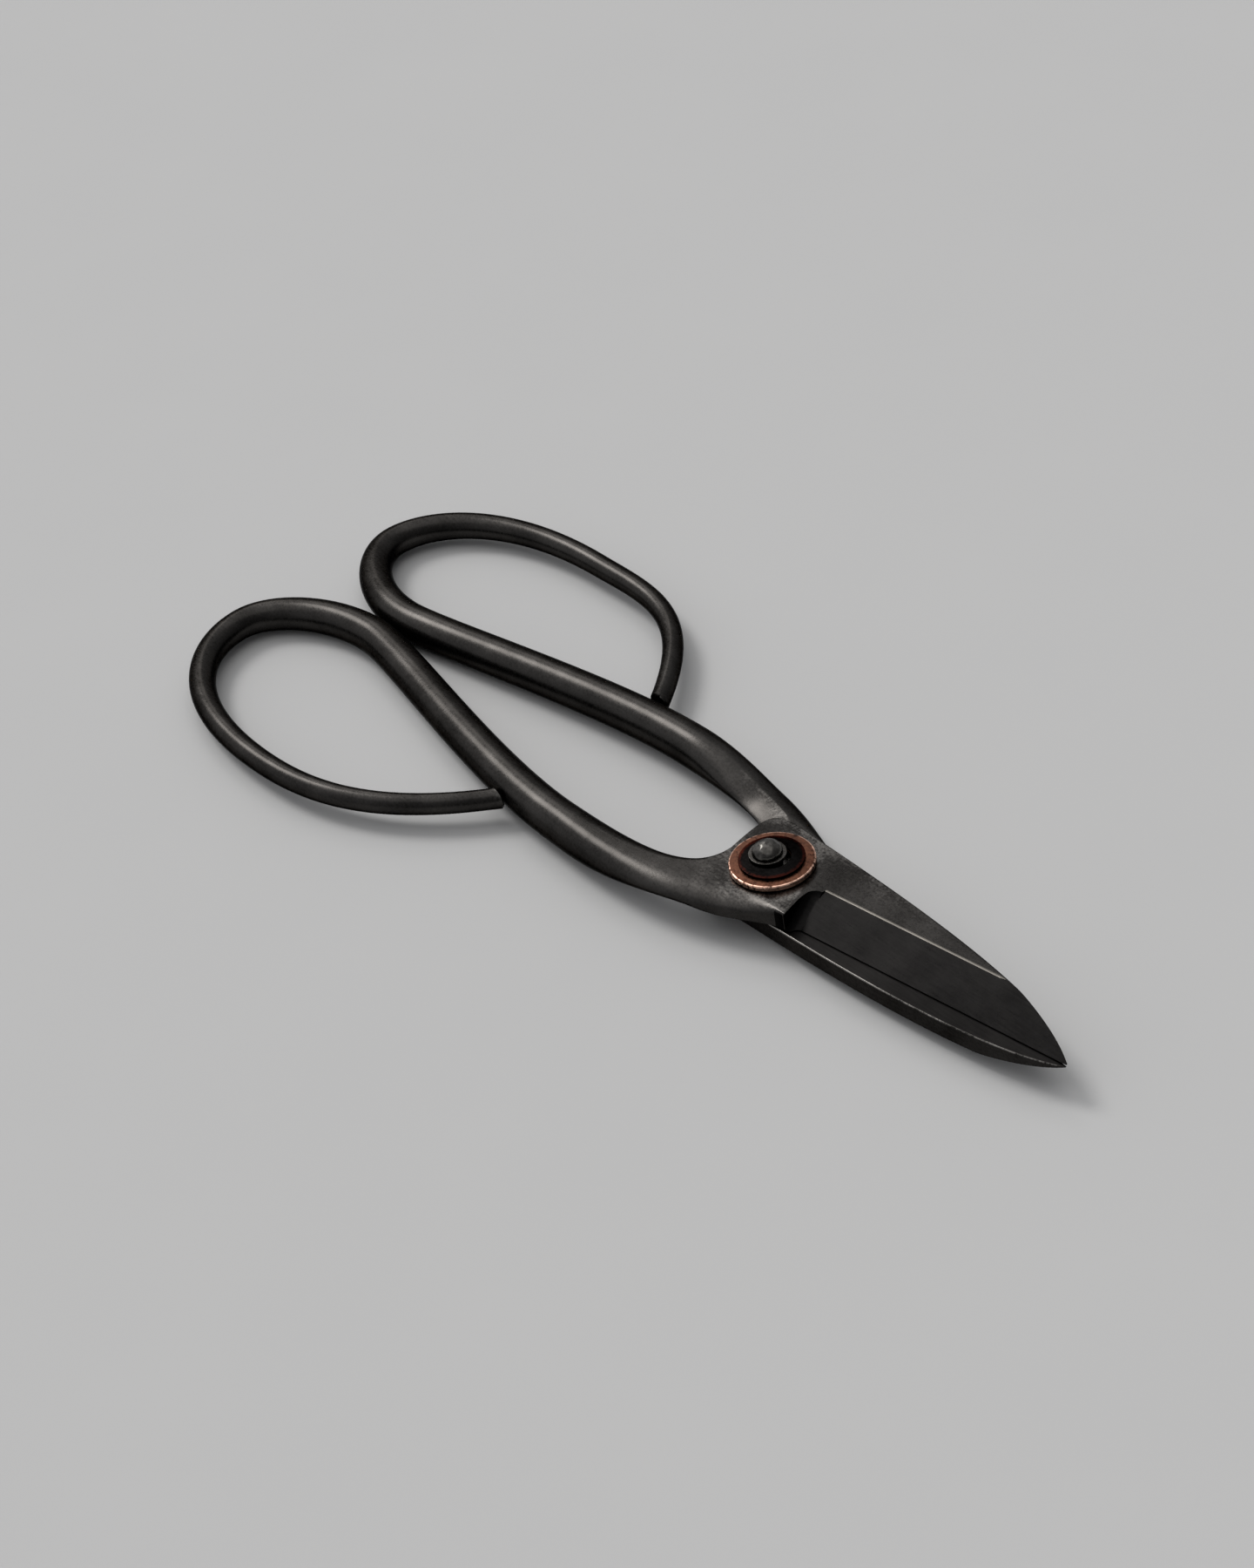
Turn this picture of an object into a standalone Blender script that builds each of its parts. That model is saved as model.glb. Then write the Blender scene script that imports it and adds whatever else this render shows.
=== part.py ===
"""Forged floral snips with butterfly finger loops, lying closed on the tail of their pivot rivet.

Two hand forgings cross at one rivet. Each forging is a blade, a flat pivot boss, a thick shank and a
tapering round bar that curls outwards into a finger loop. +X runs from the pivot to the tip, +Z is up,
and the origin is on the pivot axis at the foot of the rivet.
"""
import math

import bmesh
import bpy
from mathutils import Matrix, Vector
from mathutils.geometry import interpolate_bezier

MM = 0.001

# Clearances
SHEAR_GAP = 0.25 * MM          # between the two halves, along the plane where the blades slide
SEAT_GAP = 0.2 * MM            # between pieces stacked on the rivet
BORE_GAP = 0.3 * MM            # round the rivet's shank
LOOP_STOP_GAP = 0.3 * MM       # between the loops, which stop each other when the snips are closed

# Blade and boss, seen from above, for the upper half (its loop is on the -Y side). Sizes along and across
# are from the middle of the pattern, which lies a little ahead of the rivet hole and to one side of it.
HALF_THICK = 3.4 * MM          # boss and blade
HOLE_BACK = 0.8 * MM           # middle of the pattern to the rivet hole
HOLE_ASIDE = 1.0 * MM          # centre line of the pattern to the rivet hole, towards the upper half's loop
TIP_REACH = 64.8 * MM          # middle to tip
TIP_WIDTH = 0.4 * MM
TIP_TURN = math.radians(29)    # how steeply the spine runs down to the tip
SPINE_OUT = 8.45 * MM          # centre line to the spine at the boss
SPINE_START = 1.9 * MM         # middle to where the spine starts to curve
UPPER_BACK = 8.9 * MM          # middle to the boss's edge between the shanks
LOWER_BACK = 10.6 * MM
CROTCH_PAST = 2.0 * MM         # how far the crotch's curve ends past the centre line
HEEL_AHEAD = 9.3 * MM          # middle to the heel of the cutting edge
HEEL_PAST = 6.4 * MM           # how far the heel lies past the centre line
UPPER_TAIL = Vector((10.4, -7.8)) * MM            # boss's tail, the full-thickness corner beside the heel
LOWER_TAIL = Vector((9.3, -6.8)) * MM
GRIND_AHEAD = 9.4 * MM         # middle to where the grind starts
GRIND_CORNER = 2.0 * MM        # rounding at the start of the grind
GRIND_FLARE = 2.2 * MM         # how far the start of the grind leans ahead, at the near end of its cutter
RIDGE_PAST = 0.4 * MM          # ridge of the grind to the centre line, at the start of the grind
PLATE_ROUND = 0.45 * MM        # rounding along the upper edges of boss and blade
PLATE_EASE = 0.12 * MM         # the same along the inner, sliding face

# Bar: shank and finger loop
SHANK_BAR = 7.6 * MM           # bar diameter at the bow of the shank
WAIST_BAR = 6.9 * MM           # where the loops meet
BACK_BAR = 5.65 * MM           # at the back of the loop
REACH_BAR = 4.3 * MM           # at the widest point of the loop
END_BAR = 3.7 * MM             # at the loop's cut end
BOW_BACK = 38.0 * MM           # middle to the bow of the shank
UPPER_BOW_OUT = 14.4 * MM      # centre line to the bow
LOWER_BOW_OUT = 13.6 * MM
WAIST_BACK = 107.5 * MM        # middle to where the loops meet
LOOP_BACK = 130.2 * MM         # middle to the bar at the back of the loop
LOOP_BACK_OUT = 17.6 * MM
REACH_BACK = 94.0 * MM         # middle to the widest point of the loop
UPPER_REACH_OUT = 39.0 * MM    # the loops were curled by hand and differ in width
LOWER_REACH_OUT = 37.3 * MM
UPPER_CURL = 0.47              # how far the cut end's heading is carried round the loop, as a share
LOWER_CURL = 0.58
END_BACK = 51.9 * MM           # middle to the loop's cut end
END_OUT = 17.45 * MM
END_TURN = math.radians(54)    # how the bar points back at the shank
END_LIE = math.radians(-8)     # the end is cut along the side of the shank, which runs this way

# Flattening of the shank into the boss: points that pull its edge curves, for halves forged by hand
UPPER_BOW_PULL = Vector((-3.0, -20.2)) * MM       # outer edge, pull after the bow
UPPER_TAIL_PULL = Vector((3.9, -8.1)) * MM        # outer edge, pull before the tail
LOWER_BOW_PULL = Vector((-9.0, -18.1)) * MM
LOWER_TAIL_PULL = Vector((-4.5, -11.6)) * MM
CROTCH_PULL = 17.0 * MM        # inner edge, along the shank
CORNER_PULL = 2.0 * MM         # boss corner beyond the spine and the crotch
FLAT_BY = 0.45                 # share of the way to the blade by which the shank is flat on the upper side
UPPER_SLIDE_BY = 0.45          # by which it is flat on the sliding side
LOWER_SLIDE_BY = 0.36
CRISP_BY = 0.38                # by which its inner edge is crisp on the sliding side
EDGED_BY = 0.75                # by which its inner edge is crisp on the upper side
SLIDE_ROUND = (0.2, 0.6)       # between which its outer edge turns from round to crisp, sliding side
ROLL_ROUND = (0.36, 0.78)      # the same, upper side

# Rivet and washers
RIVET_SHANK = 4.0 * MM         # diameters, from here on
HEAD_WIDE = 5.0 * MM
HEAD_TALL = 1.75 * MM
TAIL_WIDE = 6.0 * MM
TAIL_TALL = 0.6 * MM
TAIL_FOOT = 4.4 * MM           # flat that the snips rest on
COLLAR_WIDE = 6.2 * MM
COLLAR_THICK = 0.3 * MM
DISH_WIDE = 10.8 * MM
DISH_THICK = 0.3 * MM
DISH_RISE = 0.12 * MM          # how far the dished washer's middle stands above its rim
COPPER_WIDE = 14.1 * MM
COPPER_THICK = 1.0 * MM
UNDER_COPPER_WIDE = 11.0 * MM
COPPER_ROUND = 0.28 * MM
UNDER_COPPER_THICK = 0.4 * MM
UNDER_COPPER_ROUND = 0.13 * MM
WASHER_SHIFT = 0.8 * MM        # the loose copper and dished washers have slid this far off the axis
WASHER_HEADING = math.radians(10)

# Fineness of the meshes
CORNER_STEPS = 4               # points round each corner of a bar section
BAR_STEP = 4.5 * MM            # spacing of sections along the bar
SHANK_STEPS = 35               # sections where the shank flattens
BLADE_STEPS = 13               # sections along the blade
TURN_STEPS = 28                # sides of a turned piece
SHARP = math.radians(38)       # edges turning by more than this are shaded sharp

# Heights above the rivet's foot
STACK_BELOW = TAIL_TALL + SEAT_GAP + UNDER_COPPER_THICK + SEAT_GAP
SHEAR_HEIGHT = STACK_BELOW + HALF_THICK + SHEAR_GAP / 2
FACE_Z = SHEAR_GAP / 2         # sliding face and outer face of the upper half, from the shear plane
TOP_Z = FACE_Z + HALF_THICK


def clear_scene():
    for item in list(bpy.data.objects):
        bpy.data.objects.remove(item, do_unlink=True)


def make_material(name, colour, roughness, metallic):
    material = bpy.data.materials.new(name)
    material.use_nodes = True
    shader = material.node_tree.nodes["Principled BSDF"]
    shader.inputs["Base Color"].default_value = (*colour, 1.0)
    shader.inputs["Roughness"].default_value = roughness
    shader.inputs["Metallic"].default_value = metallic
    return material


def make_object(name, mesh, material=None):
    item = bpy.data.objects.new(name, mesh)
    bpy.context.scene.collection.objects.link(item)
    if material:
        mesh.materials.clear()
        mesh.materials.append(material)
    return item


def finish_mesh(builder, name):
    """Turn a bmesh into a mesh that is smooth but for its sharp edges."""
    bmesh.ops.recalc_face_normals(builder, faces=builder.faces)
    mesh = bpy.data.meshes.new(name)
    builder.to_mesh(mesh)
    builder.free()
    mesh.shade_smooth()
    mesh.set_sharp_from_angle(angle=SHARP)
    return mesh


# A section is (left point, right point, bottom, top, roundings of its corners). The corners are upper left,
# upper right, lower right and lower left, seen along the bar from the loop's cut end towards the tip.

def bar_section(centre, side, diameter):
    """A round section of the bar, centred on the shear plane; side points from its centre to its left."""
    radius = diameter / 2
    return (centre + side * radius, centre - side * radius, -radius, radius, [radius] * 4)


def eased(share):
    """A share from 0 to 1 that starts and ends gently."""
    share = max(0.0, min(1.0, share))
    return share * share * (3 - 2 * share)


def eased_within(share, limits):
    """The same between two limits."""
    return eased((share - limits[0]) / (limits[1] - limits[0]))


def loop_sections(reach_out, curl, bow_out):
    """Sections round the loop and along the shank, up to the bow of the shank."""
    waist_out = WAIST_BAR / 2 + LOOP_STOP_GAP / 2
    end = Vector((-END_BACK, -END_OUT))
    reach = Vector((-REACH_BACK, -reach_out))
    back = Vector((-LOOP_BACK, -LOOP_BACK_OUT))
    waist = Vector((-WAIST_BACK, -waist_out))
    bow = Vector((-BOW_BACK, -bow_out))
    end_heading = Vector((-math.cos(END_TURN), -math.sin(END_TURN)))
    # Each stretch: start, its heading, finish, its heading, handle lengths, bar at both ends
    ahead = Vector((1, 0))
    stretches = [
        (end, end_heading, reach, -ahead, (reach - end).length * curl, (end - reach).x * 0.36,
         END_BAR, REACH_BAR),
        (reach, -ahead, back, Vector((0, 1)), (reach - back).x * 0.71, (back - reach).y * 0.44,
         REACH_BAR, BACK_BAR),
        (back, Vector((0, 1)), waist, ahead, (waist - back).y * 0.48, (waist - back).x * 0.55,
         BACK_BAR, WAIST_BAR),
        (waist, ahead, bow, ahead, (bow - waist).x * 0.13, (bow - waist).x * 0.32,
         WAIST_BAR, SHANK_BAR),
    ]
    sections = []
    for start, leaving, finish, arriving, lead, trail, bar_a, bar_b in stretches:
        count = max(4, round((finish - start).length * 1.15 / BAR_STEP))
        points = interpolate_bezier(
            start, start + leaving * lead, finish - arriving * trail, finish, count + 1)
        for index in range(count):
            here = Vector(points[index][:2])
            before = Vector(points[max(index - 1, 0)][:2])
            after = Vector(points[index + 1][:2])
            heading = after - before
            if index == 0:
                heading = leaving
            side = Vector((-heading.y, heading.x)).normalized()
            sections.append(bar_section(here, side, bar_a + (bar_b - bar_a) * index / count))
    square = Vector((-end_heading.y, end_heading.x))
    lie = Vector((math.cos(END_LIE), math.sin(END_LIE)))
    sections[0] = bar_section(end, lie / lie.dot(square), END_BAR)
    return sections


def shank_sections(bow_out, bow_pull, tail_pull, tail, boss_back, slide_by):
    """Sections from the bow of the shank, where the bar flattens, through the boss to the blade."""
    bar = SHANK_BAR / 2
    ahead = Vector((1, 0))
    bow = Vector((-BOW_BACK, -bow_out))
    bow_inner = bow + Vector((0, bar))
    bow_outer = bow - Vector((0, bar))
    crotch = Vector((-boss_back, -CROTCH_PAST))
    spine = Vector((SPINE_START, SPINE_OUT))
    corner = Vector((-boss_back - CORNER_PULL, SPINE_OUT + CORNER_PULL / 4))
    crotch_steps = round(SHANK_STEPS * 0.6)
    corner_steps = SHANK_STEPS - crotch_steps
    inner = interpolate_bezier(
        bow_inner, bow_inner + ahead * CROTCH_PULL,
        crotch - Vector((0, CROTCH_PULL / 2)), crotch, crotch_steps + 1)
    inner += interpolate_bezier(crotch, corner, corner, spine, corner_steps + 1)[1:]
    outer = interpolate_bezier(bow_outer, bow_pull, tail_pull, tail, SHANK_STEPS + 1)
    sections = []
    for index in range(SHANK_STEPS):
        way = index / SHANK_STEPS
        roundings = [
            bar + (PLATE_ROUND - bar) * eased(way / EDGED_BY),
            bar + (PLATE_ROUND - bar) * eased_within(way, ROLL_ROUND),
            bar + (PLATE_EASE - bar) * eased_within(way, SLIDE_ROUND),
            bar + (PLATE_EASE - bar) * eased(way / CRISP_BY),
        ]
        sections.append((
            Vector(inner[index][:2]),
            Vector(outer[index][:2]),
            -bar + (FACE_Z + bar) * eased(way / slide_by),
            bar + (TOP_Z - bar) * eased(way / FLAT_BY),
            roundings,
        ))
    return sections


def blade_sections(tail):
    """Sections from the boss to the tip, between the curved spine and the stock that the grind takes off."""
    shoulder = Vector((SPINE_START, SPINE_OUT))
    tip = Vector((TIP_REACH, 0))
    half_tip = Vector((0, TIP_WIDTH / 2))
    length = (tip - shoulder).length
    tip_heading = Vector((math.cos(TIP_TURN), -math.sin(TIP_TURN)))
    spine = interpolate_bezier(
        shoulder, shoulder + Vector((length * 0.47, -SPINE_OUT * 0.08)),
        tip + half_tip - tip_heading * length * 0.175, tip + half_tip, BLADE_STEPS + 1)
    sections = []
    for point in spine:
        left = Vector(point[:2])
        reach = (left.x - shoulder.x) / (tip.x - shoulder.x)
        right = tail.lerp(tip - half_tip, reach)
        narrow = min(1.0, (left - right).length / (4 * PLATE_ROUND))
        roundings = [PLATE_ROUND * narrow] * 2 + [PLATE_EASE * narrow] * 2
        sections.append((left, right, FACE_Z, TOP_Z, roundings))
    return sections


def section_points(section):
    """Points round a section: four rounded corners, with no point shared by two corners."""
    left, right, bottom, top, roundings = section
    width = (left - right).length
    tall = top - bottom
    across = (left - right).normalized()
    middle = (left + right) / 2
    corners = [(1, 1), (-1, 1), (-1, -1), (1, -1)]
    points = []
    for quarter, (side, up) in enumerate(corners):
        rounding = roundings[quarter]
        same_side = roundings[3 - quarter]
        rounding = min(rounding * min(1, tall / (rounding + same_side)), width / 2)
        centre_side = side * (width / 2 - rounding)
        centre_up = (bottom + top) / 2 + up * (tall / 2 - rounding)
        for step in range(CORNER_STEPS):
            angle = math.radians(90 * (quarter + (step + 0.5) / CORNER_STEPS))
            spot = middle + across * (centre_side + rounding * math.cos(angle))
            points.append((spot.x, spot.y, centre_up + rounding * math.sin(angle)))
    return points


def loft(sections):
    """A closed skin over the sections, capped at both ends."""
    builder = bmesh.new()
    rings = [[builder.verts.new(point) for point in section_points(section)] for section in sections]
    around = len(rings[0])
    for ring, following in zip(rings, rings[1:]):
        for index in range(around):
            beside = (index + 1) % around
            builder.faces.new((ring[index], ring[beside], following[beside], following[index]))
    builder.faces.new(rings[0])
    builder.faces.new(rings[-1])
    return builder


def grind_cutter():
    """The space above the ground face: over a plane from the ridge down to the cutting edge."""
    heel = Vector((HEEL_AHEAD, -HEEL_PAST, FACE_Z))
    tip = Vector((TIP_REACH, 0, FACE_Z))
    ridge = Vector((GRIND_AHEAD, RIDGE_PAST, TOP_Z))
    normal = (tip - heel).cross(ridge - heel).normalized()

    def on_plane(x, y):
        return heel.z - (normal.x * (x - heel.x) + normal.y * (y - heel.y)) / normal.z

    along = (tip - heel).normalized()
    across = Vector((-along.y, along.x))
    slack = 0.2 * MM               # the corner's arc ends just beyond the ridge, above the top
    spare = 6 * MM                 # how far the cutter reaches past the blade
    far_x = TIP_REACH + spare
    near_y = -HEEL_PAST - spare
    ridge_slope = along.y / along.x
    top_y = RIDGE_PAST + slack
    turn = math.pi / 2 - math.atan(ridge_slope)
    centre = Vector((
        GRIND_AHEAD + GRIND_CORNER, top_y - GRIND_CORNER * across.y + GRIND_CORNER * ridge_slope))
    outline = [(GRIND_AHEAD + GRIND_FLARE, near_y)]
    corner_steps = 6
    for step in range(corner_steps + 1):
        angle = math.pi - turn * step / corner_steps
        outline.append((centre.x + GRIND_CORNER * math.cos(angle), centre.y + GRIND_CORNER * math.sin(angle)))
    last = outline[-1]
    outline.append((far_x, last[1] + (far_x - last[0]) * ridge_slope + spare))
    outline.append((far_x, near_y))
    roof = max(TOP_Z, max(on_plane(x, y) for x, y in outline)) + spare
    builder = bmesh.new()
    floor = [builder.verts.new((x, y, on_plane(x, y))) for x, y in outline]
    ceiling = [builder.verts.new((x, y, roof)) for x, y in outline]
    for index in range(len(outline)):
        beside = (index + 1) % len(outline)
        builder.faces.new((floor[index], floor[beside], ceiling[beside], ceiling[index]))
    builder.faces.new(floor)
    builder.faces.new(ceiling)
    return make_object("grind_cutter", finish_mesh(builder, "grind_cutter"))


def bore_cutter(hole):
    builder = bmesh.new()
    bmesh.ops.create_cone(
        builder, cap_ends=True, segments=TURN_STEPS, radius1=RIVET_SHANK / 2 + BORE_GAP,
        radius2=RIVET_SHANK / 2 + BORE_GAP, depth=6 * HALF_THICK, matrix=Matrix.Translation(hole))
    return make_object("bore_cutter", finish_mesh(builder, "bore_cutter"))


def half_mesh(reach_out, curl, bow_out, bow_pull, tail_pull, tail, boss_back, slide_by, hole_aside):
    """One forging, with its shear plane at z = 0 and its rivet hole at the origin."""
    hole = Vector((-HOLE_BACK, -hole_aside, 0))
    sections = loop_sections(reach_out, curl, bow_out)
    sections += shank_sections(bow_out, bow_pull, tail_pull, tail, boss_back, slide_by)
    sections += blade_sections(tail)
    skin = loft(sections)
    blank = make_object("half_blank", finish_mesh(skin, "half_blank"))
    cutters = [grind_cutter(), bore_cutter(hole)]
    for cutter in cutters:
        cutter.hide_render = True
        cutter.display_type = "WIRE"
        cut = blank.modifiers.new(cutter.name, "BOOLEAN")
        cut.operation = "DIFFERENCE"
        cut.solver = "EXACT"
        cut.object = cutter
    seen = blank.evaluated_get(bpy.context.evaluated_depsgraph_get())
    mesh = bpy.data.meshes.new_from_object(seen)
    for item in [blank, *cutters]:
        bpy.data.objects.remove(item, do_unlink=True)
    mesh.transform(Matrix.Translation(-hole))
    mesh.set_sharp_from_angle(angle=SHARP)
    return mesh


def turned(name, profile, material, centre=(0, 0)):
    """A solid of revolution from (radius, height) points; a ring unless it starts and ends at radius 0."""
    builder = bmesh.new()
    rings = []
    for radius, height in profile:
        if radius == 0:
            rings.append([builder.verts.new((*centre, height))])
            continue
        ring = []
        for step in range(TURN_STEPS):
            angle = math.tau * step / TURN_STEPS
            ring.append(builder.verts.new(
                (centre[0] + radius * math.cos(angle), centre[1] + radius * math.sin(angle), height)))
        rings.append(ring)
    pairs = list(zip(rings, rings[1:]))
    if profile[0][0] > 0:
        pairs.append((rings[-1], rings[0]))
    for ring, following in pairs:
        for index in range(TURN_STEPS):
            beside = (index + 1) % TURN_STEPS
            corners = [ring[index % len(ring)], ring[beside % len(ring)],
                       following[beside % len(following)], following[index % len(following)]]
            builder.faces.new(list(dict.fromkeys(corners)))
    return make_object(name, finish_mesh(builder, name), material)


def arc(centre_radius, centre_height, size, start, finish, steps):
    """Points of a profile along an arc, angles in degrees from the outward direction."""
    points = []
    for step in range(steps + 1):
        angle = math.radians(start + (finish - start) * step / steps)
        points.append((centre_radius + size * math.cos(angle), centre_height + size * math.sin(angle)))
    return points


def washer(name, wide, bore, bottom, thick, rounding, material, rise=0.0, centre=(0, 0)):
    """A washer with a rounded rim, whose middle may stand higher than its rim."""
    outer = wide / 2
    inner = bore / 2
    profile = [(inner, bottom + thick + rise)]
    profile += reversed(arc(outer - rounding, bottom + thick - rounding, rounding, 0, 90, 3))
    profile += reversed(arc(outer - rounding, bottom + rounding, rounding, -90, 0, 3))
    profile.append((inner, bottom + rise))
    return turned(name, profile, material, centre)


def rivet(material, head_bottom, foot):
    """Domed head, plain shank and a peened tail with a flat foot."""
    dome_steps = 6
    profile = [(0, head_bottom + HEAD_TALL)]
    for step in range(1, dome_steps + 1):
        angle = math.pi / 2 * (1 - step / dome_steps)
        profile.append((HEAD_WIDE / 2 * math.cos(angle), head_bottom + HEAD_TALL * math.sin(angle)))
    tail_top = foot + TAIL_TALL
    profile += [
        (RIVET_SHANK / 2, head_bottom),
        (RIVET_SHANK / 2, tail_top),
        (TAIL_WIDE / 2, tail_top),
        (TAIL_WIDE / 2, foot + TAIL_TALL * 0.55),
        ((TAIL_WIDE + TAIL_FOOT) / 4 + 0.1 * MM, foot + TAIL_TALL * 0.15),
        (TAIL_FOOT / 2, foot),
        (0, foot),
    ]
    return turned("pivot_rivet", profile, material)


def build():
    clear_scene()
    pivot = bpy.data.objects.new("pivot_axis", None)
    pivot.location = (0, 0, SHEAR_HEIGHT)
    bpy.context.scene.collection.objects.link(pivot)

    steel = (0.045, 0.042, 0.038)
    upper_mesh = half_mesh(
        UPPER_REACH_OUT, UPPER_CURL, UPPER_BOW_OUT, UPPER_BOW_PULL, UPPER_TAIL_PULL, UPPER_TAIL, UPPER_BACK,
        UPPER_SLIDE_BY, HOLE_ASIDE)
    lower_mesh = half_mesh(
        LOWER_REACH_OUT, LOWER_CURL, LOWER_BOW_OUT, LOWER_BOW_PULL, LOWER_TAIL_PULL, LOWER_TAIL, LOWER_BACK,
        LOWER_SLIDE_BY, -HOLE_ASIDE)
    upper = make_object("upper_half", upper_mesh, make_material("upper_steel", steel, 0.42, 0.9))
    lower = make_object("lower_half", lower_mesh, make_material("lower_steel", steel, 0.42, 0.9))
    lower.rotation_euler = (math.pi, 0, 0)

    copper = (0.62, 0.27, 0.15)
    shift = (WASHER_SHIFT * math.cos(WASHER_HEADING), WASHER_SHIFT * math.sin(WASHER_HEADING))
    loose_bore = RIVET_SHANK + 2 * (BORE_GAP + WASHER_SHIFT)
    snug_bore = RIVET_SHANK + 2 * BORE_GAP
    copper_z = TOP_Z + SEAT_GAP
    dish_z = copper_z + COPPER_THICK + SEAT_GAP
    collar_z = dish_z + DISH_THICK + DISH_RISE + SEAT_GAP
    head_z = collar_z + COLLAR_THICK + SEAT_GAP
    under_copper_z = -TOP_Z - SEAT_GAP - UNDER_COPPER_THICK
    pieces = [
        upper,
        lower,
        washer("upper_copper_washer", COPPER_WIDE, loose_bore, copper_z, COPPER_THICK, COPPER_ROUND,
               make_material("upper_copper", copper, 0.35, 1.0), 0.0, shift),
        washer("dished_washer", DISH_WIDE, loose_bore, dish_z, DISH_THICK, DISH_THICK / 3,
               make_material("black_washer", (0.012, 0.012, 0.012), 0.22, 0.8), DISH_RISE, shift),
        washer("head_collar", COLLAR_WIDE, snug_bore, collar_z, COLLAR_THICK, COLLAR_THICK / 3,
               make_material("collar_steel", (0.10, 0.10, 0.10), 0.30, 0.9)),
        washer("lower_copper_washer", UNDER_COPPER_WIDE, snug_bore, under_copper_z, UNDER_COPPER_THICK,
               UNDER_COPPER_ROUND, make_material("lower_copper", copper, 0.35, 1.0)),
        rivet(make_material("rivet_steel", (0.16, 0.15, 0.14), 0.28, 1.0), head_z, -SHEAR_HEIGHT),
    ]
    for piece in pieces:
        piece.parent = pivot


build()
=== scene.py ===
# %% [markdown]
# Forged floral snips, dressed for the camera.
#
# The snips are two hand forgings that cross at one rivet. Their solids come in as a fixed frame, and
# each solid is replaced here by a finer mesh of the same size in the same place. Sizes are real, in
# millimetres turned into metres by MM. +X runs from the pivot to the tip, +Z is up, and the origin is on
# the pivot axis at the foot of the rivet.

# %% Load the snips as a fixed frame
import math

import bmesh
import bpy
from mathutils import Matrix, Vector
from mathutils.geometry import interpolate_bezier


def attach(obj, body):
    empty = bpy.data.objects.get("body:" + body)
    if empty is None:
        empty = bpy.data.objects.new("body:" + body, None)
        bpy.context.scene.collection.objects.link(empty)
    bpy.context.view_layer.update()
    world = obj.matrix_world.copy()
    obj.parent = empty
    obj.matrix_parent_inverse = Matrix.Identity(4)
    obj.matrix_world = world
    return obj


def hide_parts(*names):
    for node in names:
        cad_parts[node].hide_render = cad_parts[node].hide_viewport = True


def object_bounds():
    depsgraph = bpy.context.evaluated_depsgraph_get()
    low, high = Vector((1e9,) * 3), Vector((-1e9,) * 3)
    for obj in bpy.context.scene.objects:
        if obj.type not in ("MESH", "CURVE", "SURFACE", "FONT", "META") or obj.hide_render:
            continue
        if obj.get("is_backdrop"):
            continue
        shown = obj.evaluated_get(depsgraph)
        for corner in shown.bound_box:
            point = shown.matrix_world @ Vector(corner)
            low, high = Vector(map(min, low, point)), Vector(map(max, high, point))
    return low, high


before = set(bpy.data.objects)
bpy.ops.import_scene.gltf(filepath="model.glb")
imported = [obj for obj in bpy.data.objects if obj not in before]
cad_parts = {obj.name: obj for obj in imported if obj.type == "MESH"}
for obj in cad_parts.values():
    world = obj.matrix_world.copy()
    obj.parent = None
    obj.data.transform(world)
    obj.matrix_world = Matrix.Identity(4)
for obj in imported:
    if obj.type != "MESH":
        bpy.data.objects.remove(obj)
solid_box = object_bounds()
MM = 0.001
print("nodes:", sorted(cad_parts))
for corner in solid_box:
    print("corner of the solids' box:", [round(value / MM, 2) for value in corner], "mm")

# %% [markdown]
# The camera stands beyond the tip and to one side, and looks down over the blades towards the loops, so
# that the tip comes to the lower right. It was found by lining up the rivet, the tip and the loops with
# their places in the picture. A camera can be turned by three angles that a person would give: a
# heading, a tilt away from straight down, and a roll about its own line of sight. Multiplying the three
# turns keeps them apart, which one set of Euler angles would not.

# %% Camera
CAMERA_PLACE = Vector((352.25, -253.4, 353.3)) * MM
CAMERA_HEADING = math.radians(56.93)
CAMERA_TILT = math.radians(53.17)
CAMERA_ROLL = math.radians(-9.62)
FOCUS_SHARE = 4000 / 1800          # focal length as a share of the picture's height

bpy.ops.object.select_all(action="DESELECT")
bpy.ops.object.camera_add(location=CAMERA_PLACE)
camera = bpy.context.object
camera.name = "camera"
aim = Matrix.Rotation(CAMERA_HEADING, 3, "Z") @ Matrix.Rotation(CAMERA_TILT, 3, "X")
aim = aim @ Matrix.Rotation(CAMERA_ROLL, 3, "Z")
camera.rotation_euler = aim.to_euler()
camera.data.sensor_fit = "VERTICAL"
camera.data.lens = camera.data.sensor_height * FOCUS_SHARE
bpy.context.scene.camera = camera
print("lens", round(camera.data.lens, 1), "mm")

# %% [markdown]
# The snips lie on the tail of the rivet and on the undersides of the loops, which are a little higher. A
# floor tilted by the small angle between the two touches both, so that the shadows meet the metal where
# they should.

# %% Floor
LOOP_FOOT_BACK = 106.0 * MM        # pivot to where the loops meet, which is where they touch the floor
LOOP_FOOT_RISE = 1.5 * MM          # underside of the bars there, above the rivet's foot
FLOOR_TILT = math.atan2(LOOP_FOOT_RISE, LOOP_FOOT_BACK)
FLOOR_WIDE = 40.0
FLOOR_DROP = 0.08 * MM             # keeps the tilted floor clear of the foot's rim

bpy.ops.mesh.primitive_plane_add(size=FLOOR_WIDE, location=(0, 0, -FLOOR_DROP))
floor = bpy.context.object
floor.name = "floor"
floor.rotation_euler = (0, FLOOR_TILT, 0)
bpy.ops.object.transform_apply(location=True, rotation=True, scale=True)
floor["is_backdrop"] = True
print("floor tilted by", round(math.degrees(FLOOR_TILT), 2), "degrees")

# %% [markdown]
# Nodes are made by the same few lines again and again, so three helpers come first: one adds a node and
# fills in its sockets and settings, one starts a node group with named inputs and outputs, and one
# starts a material.

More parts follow.
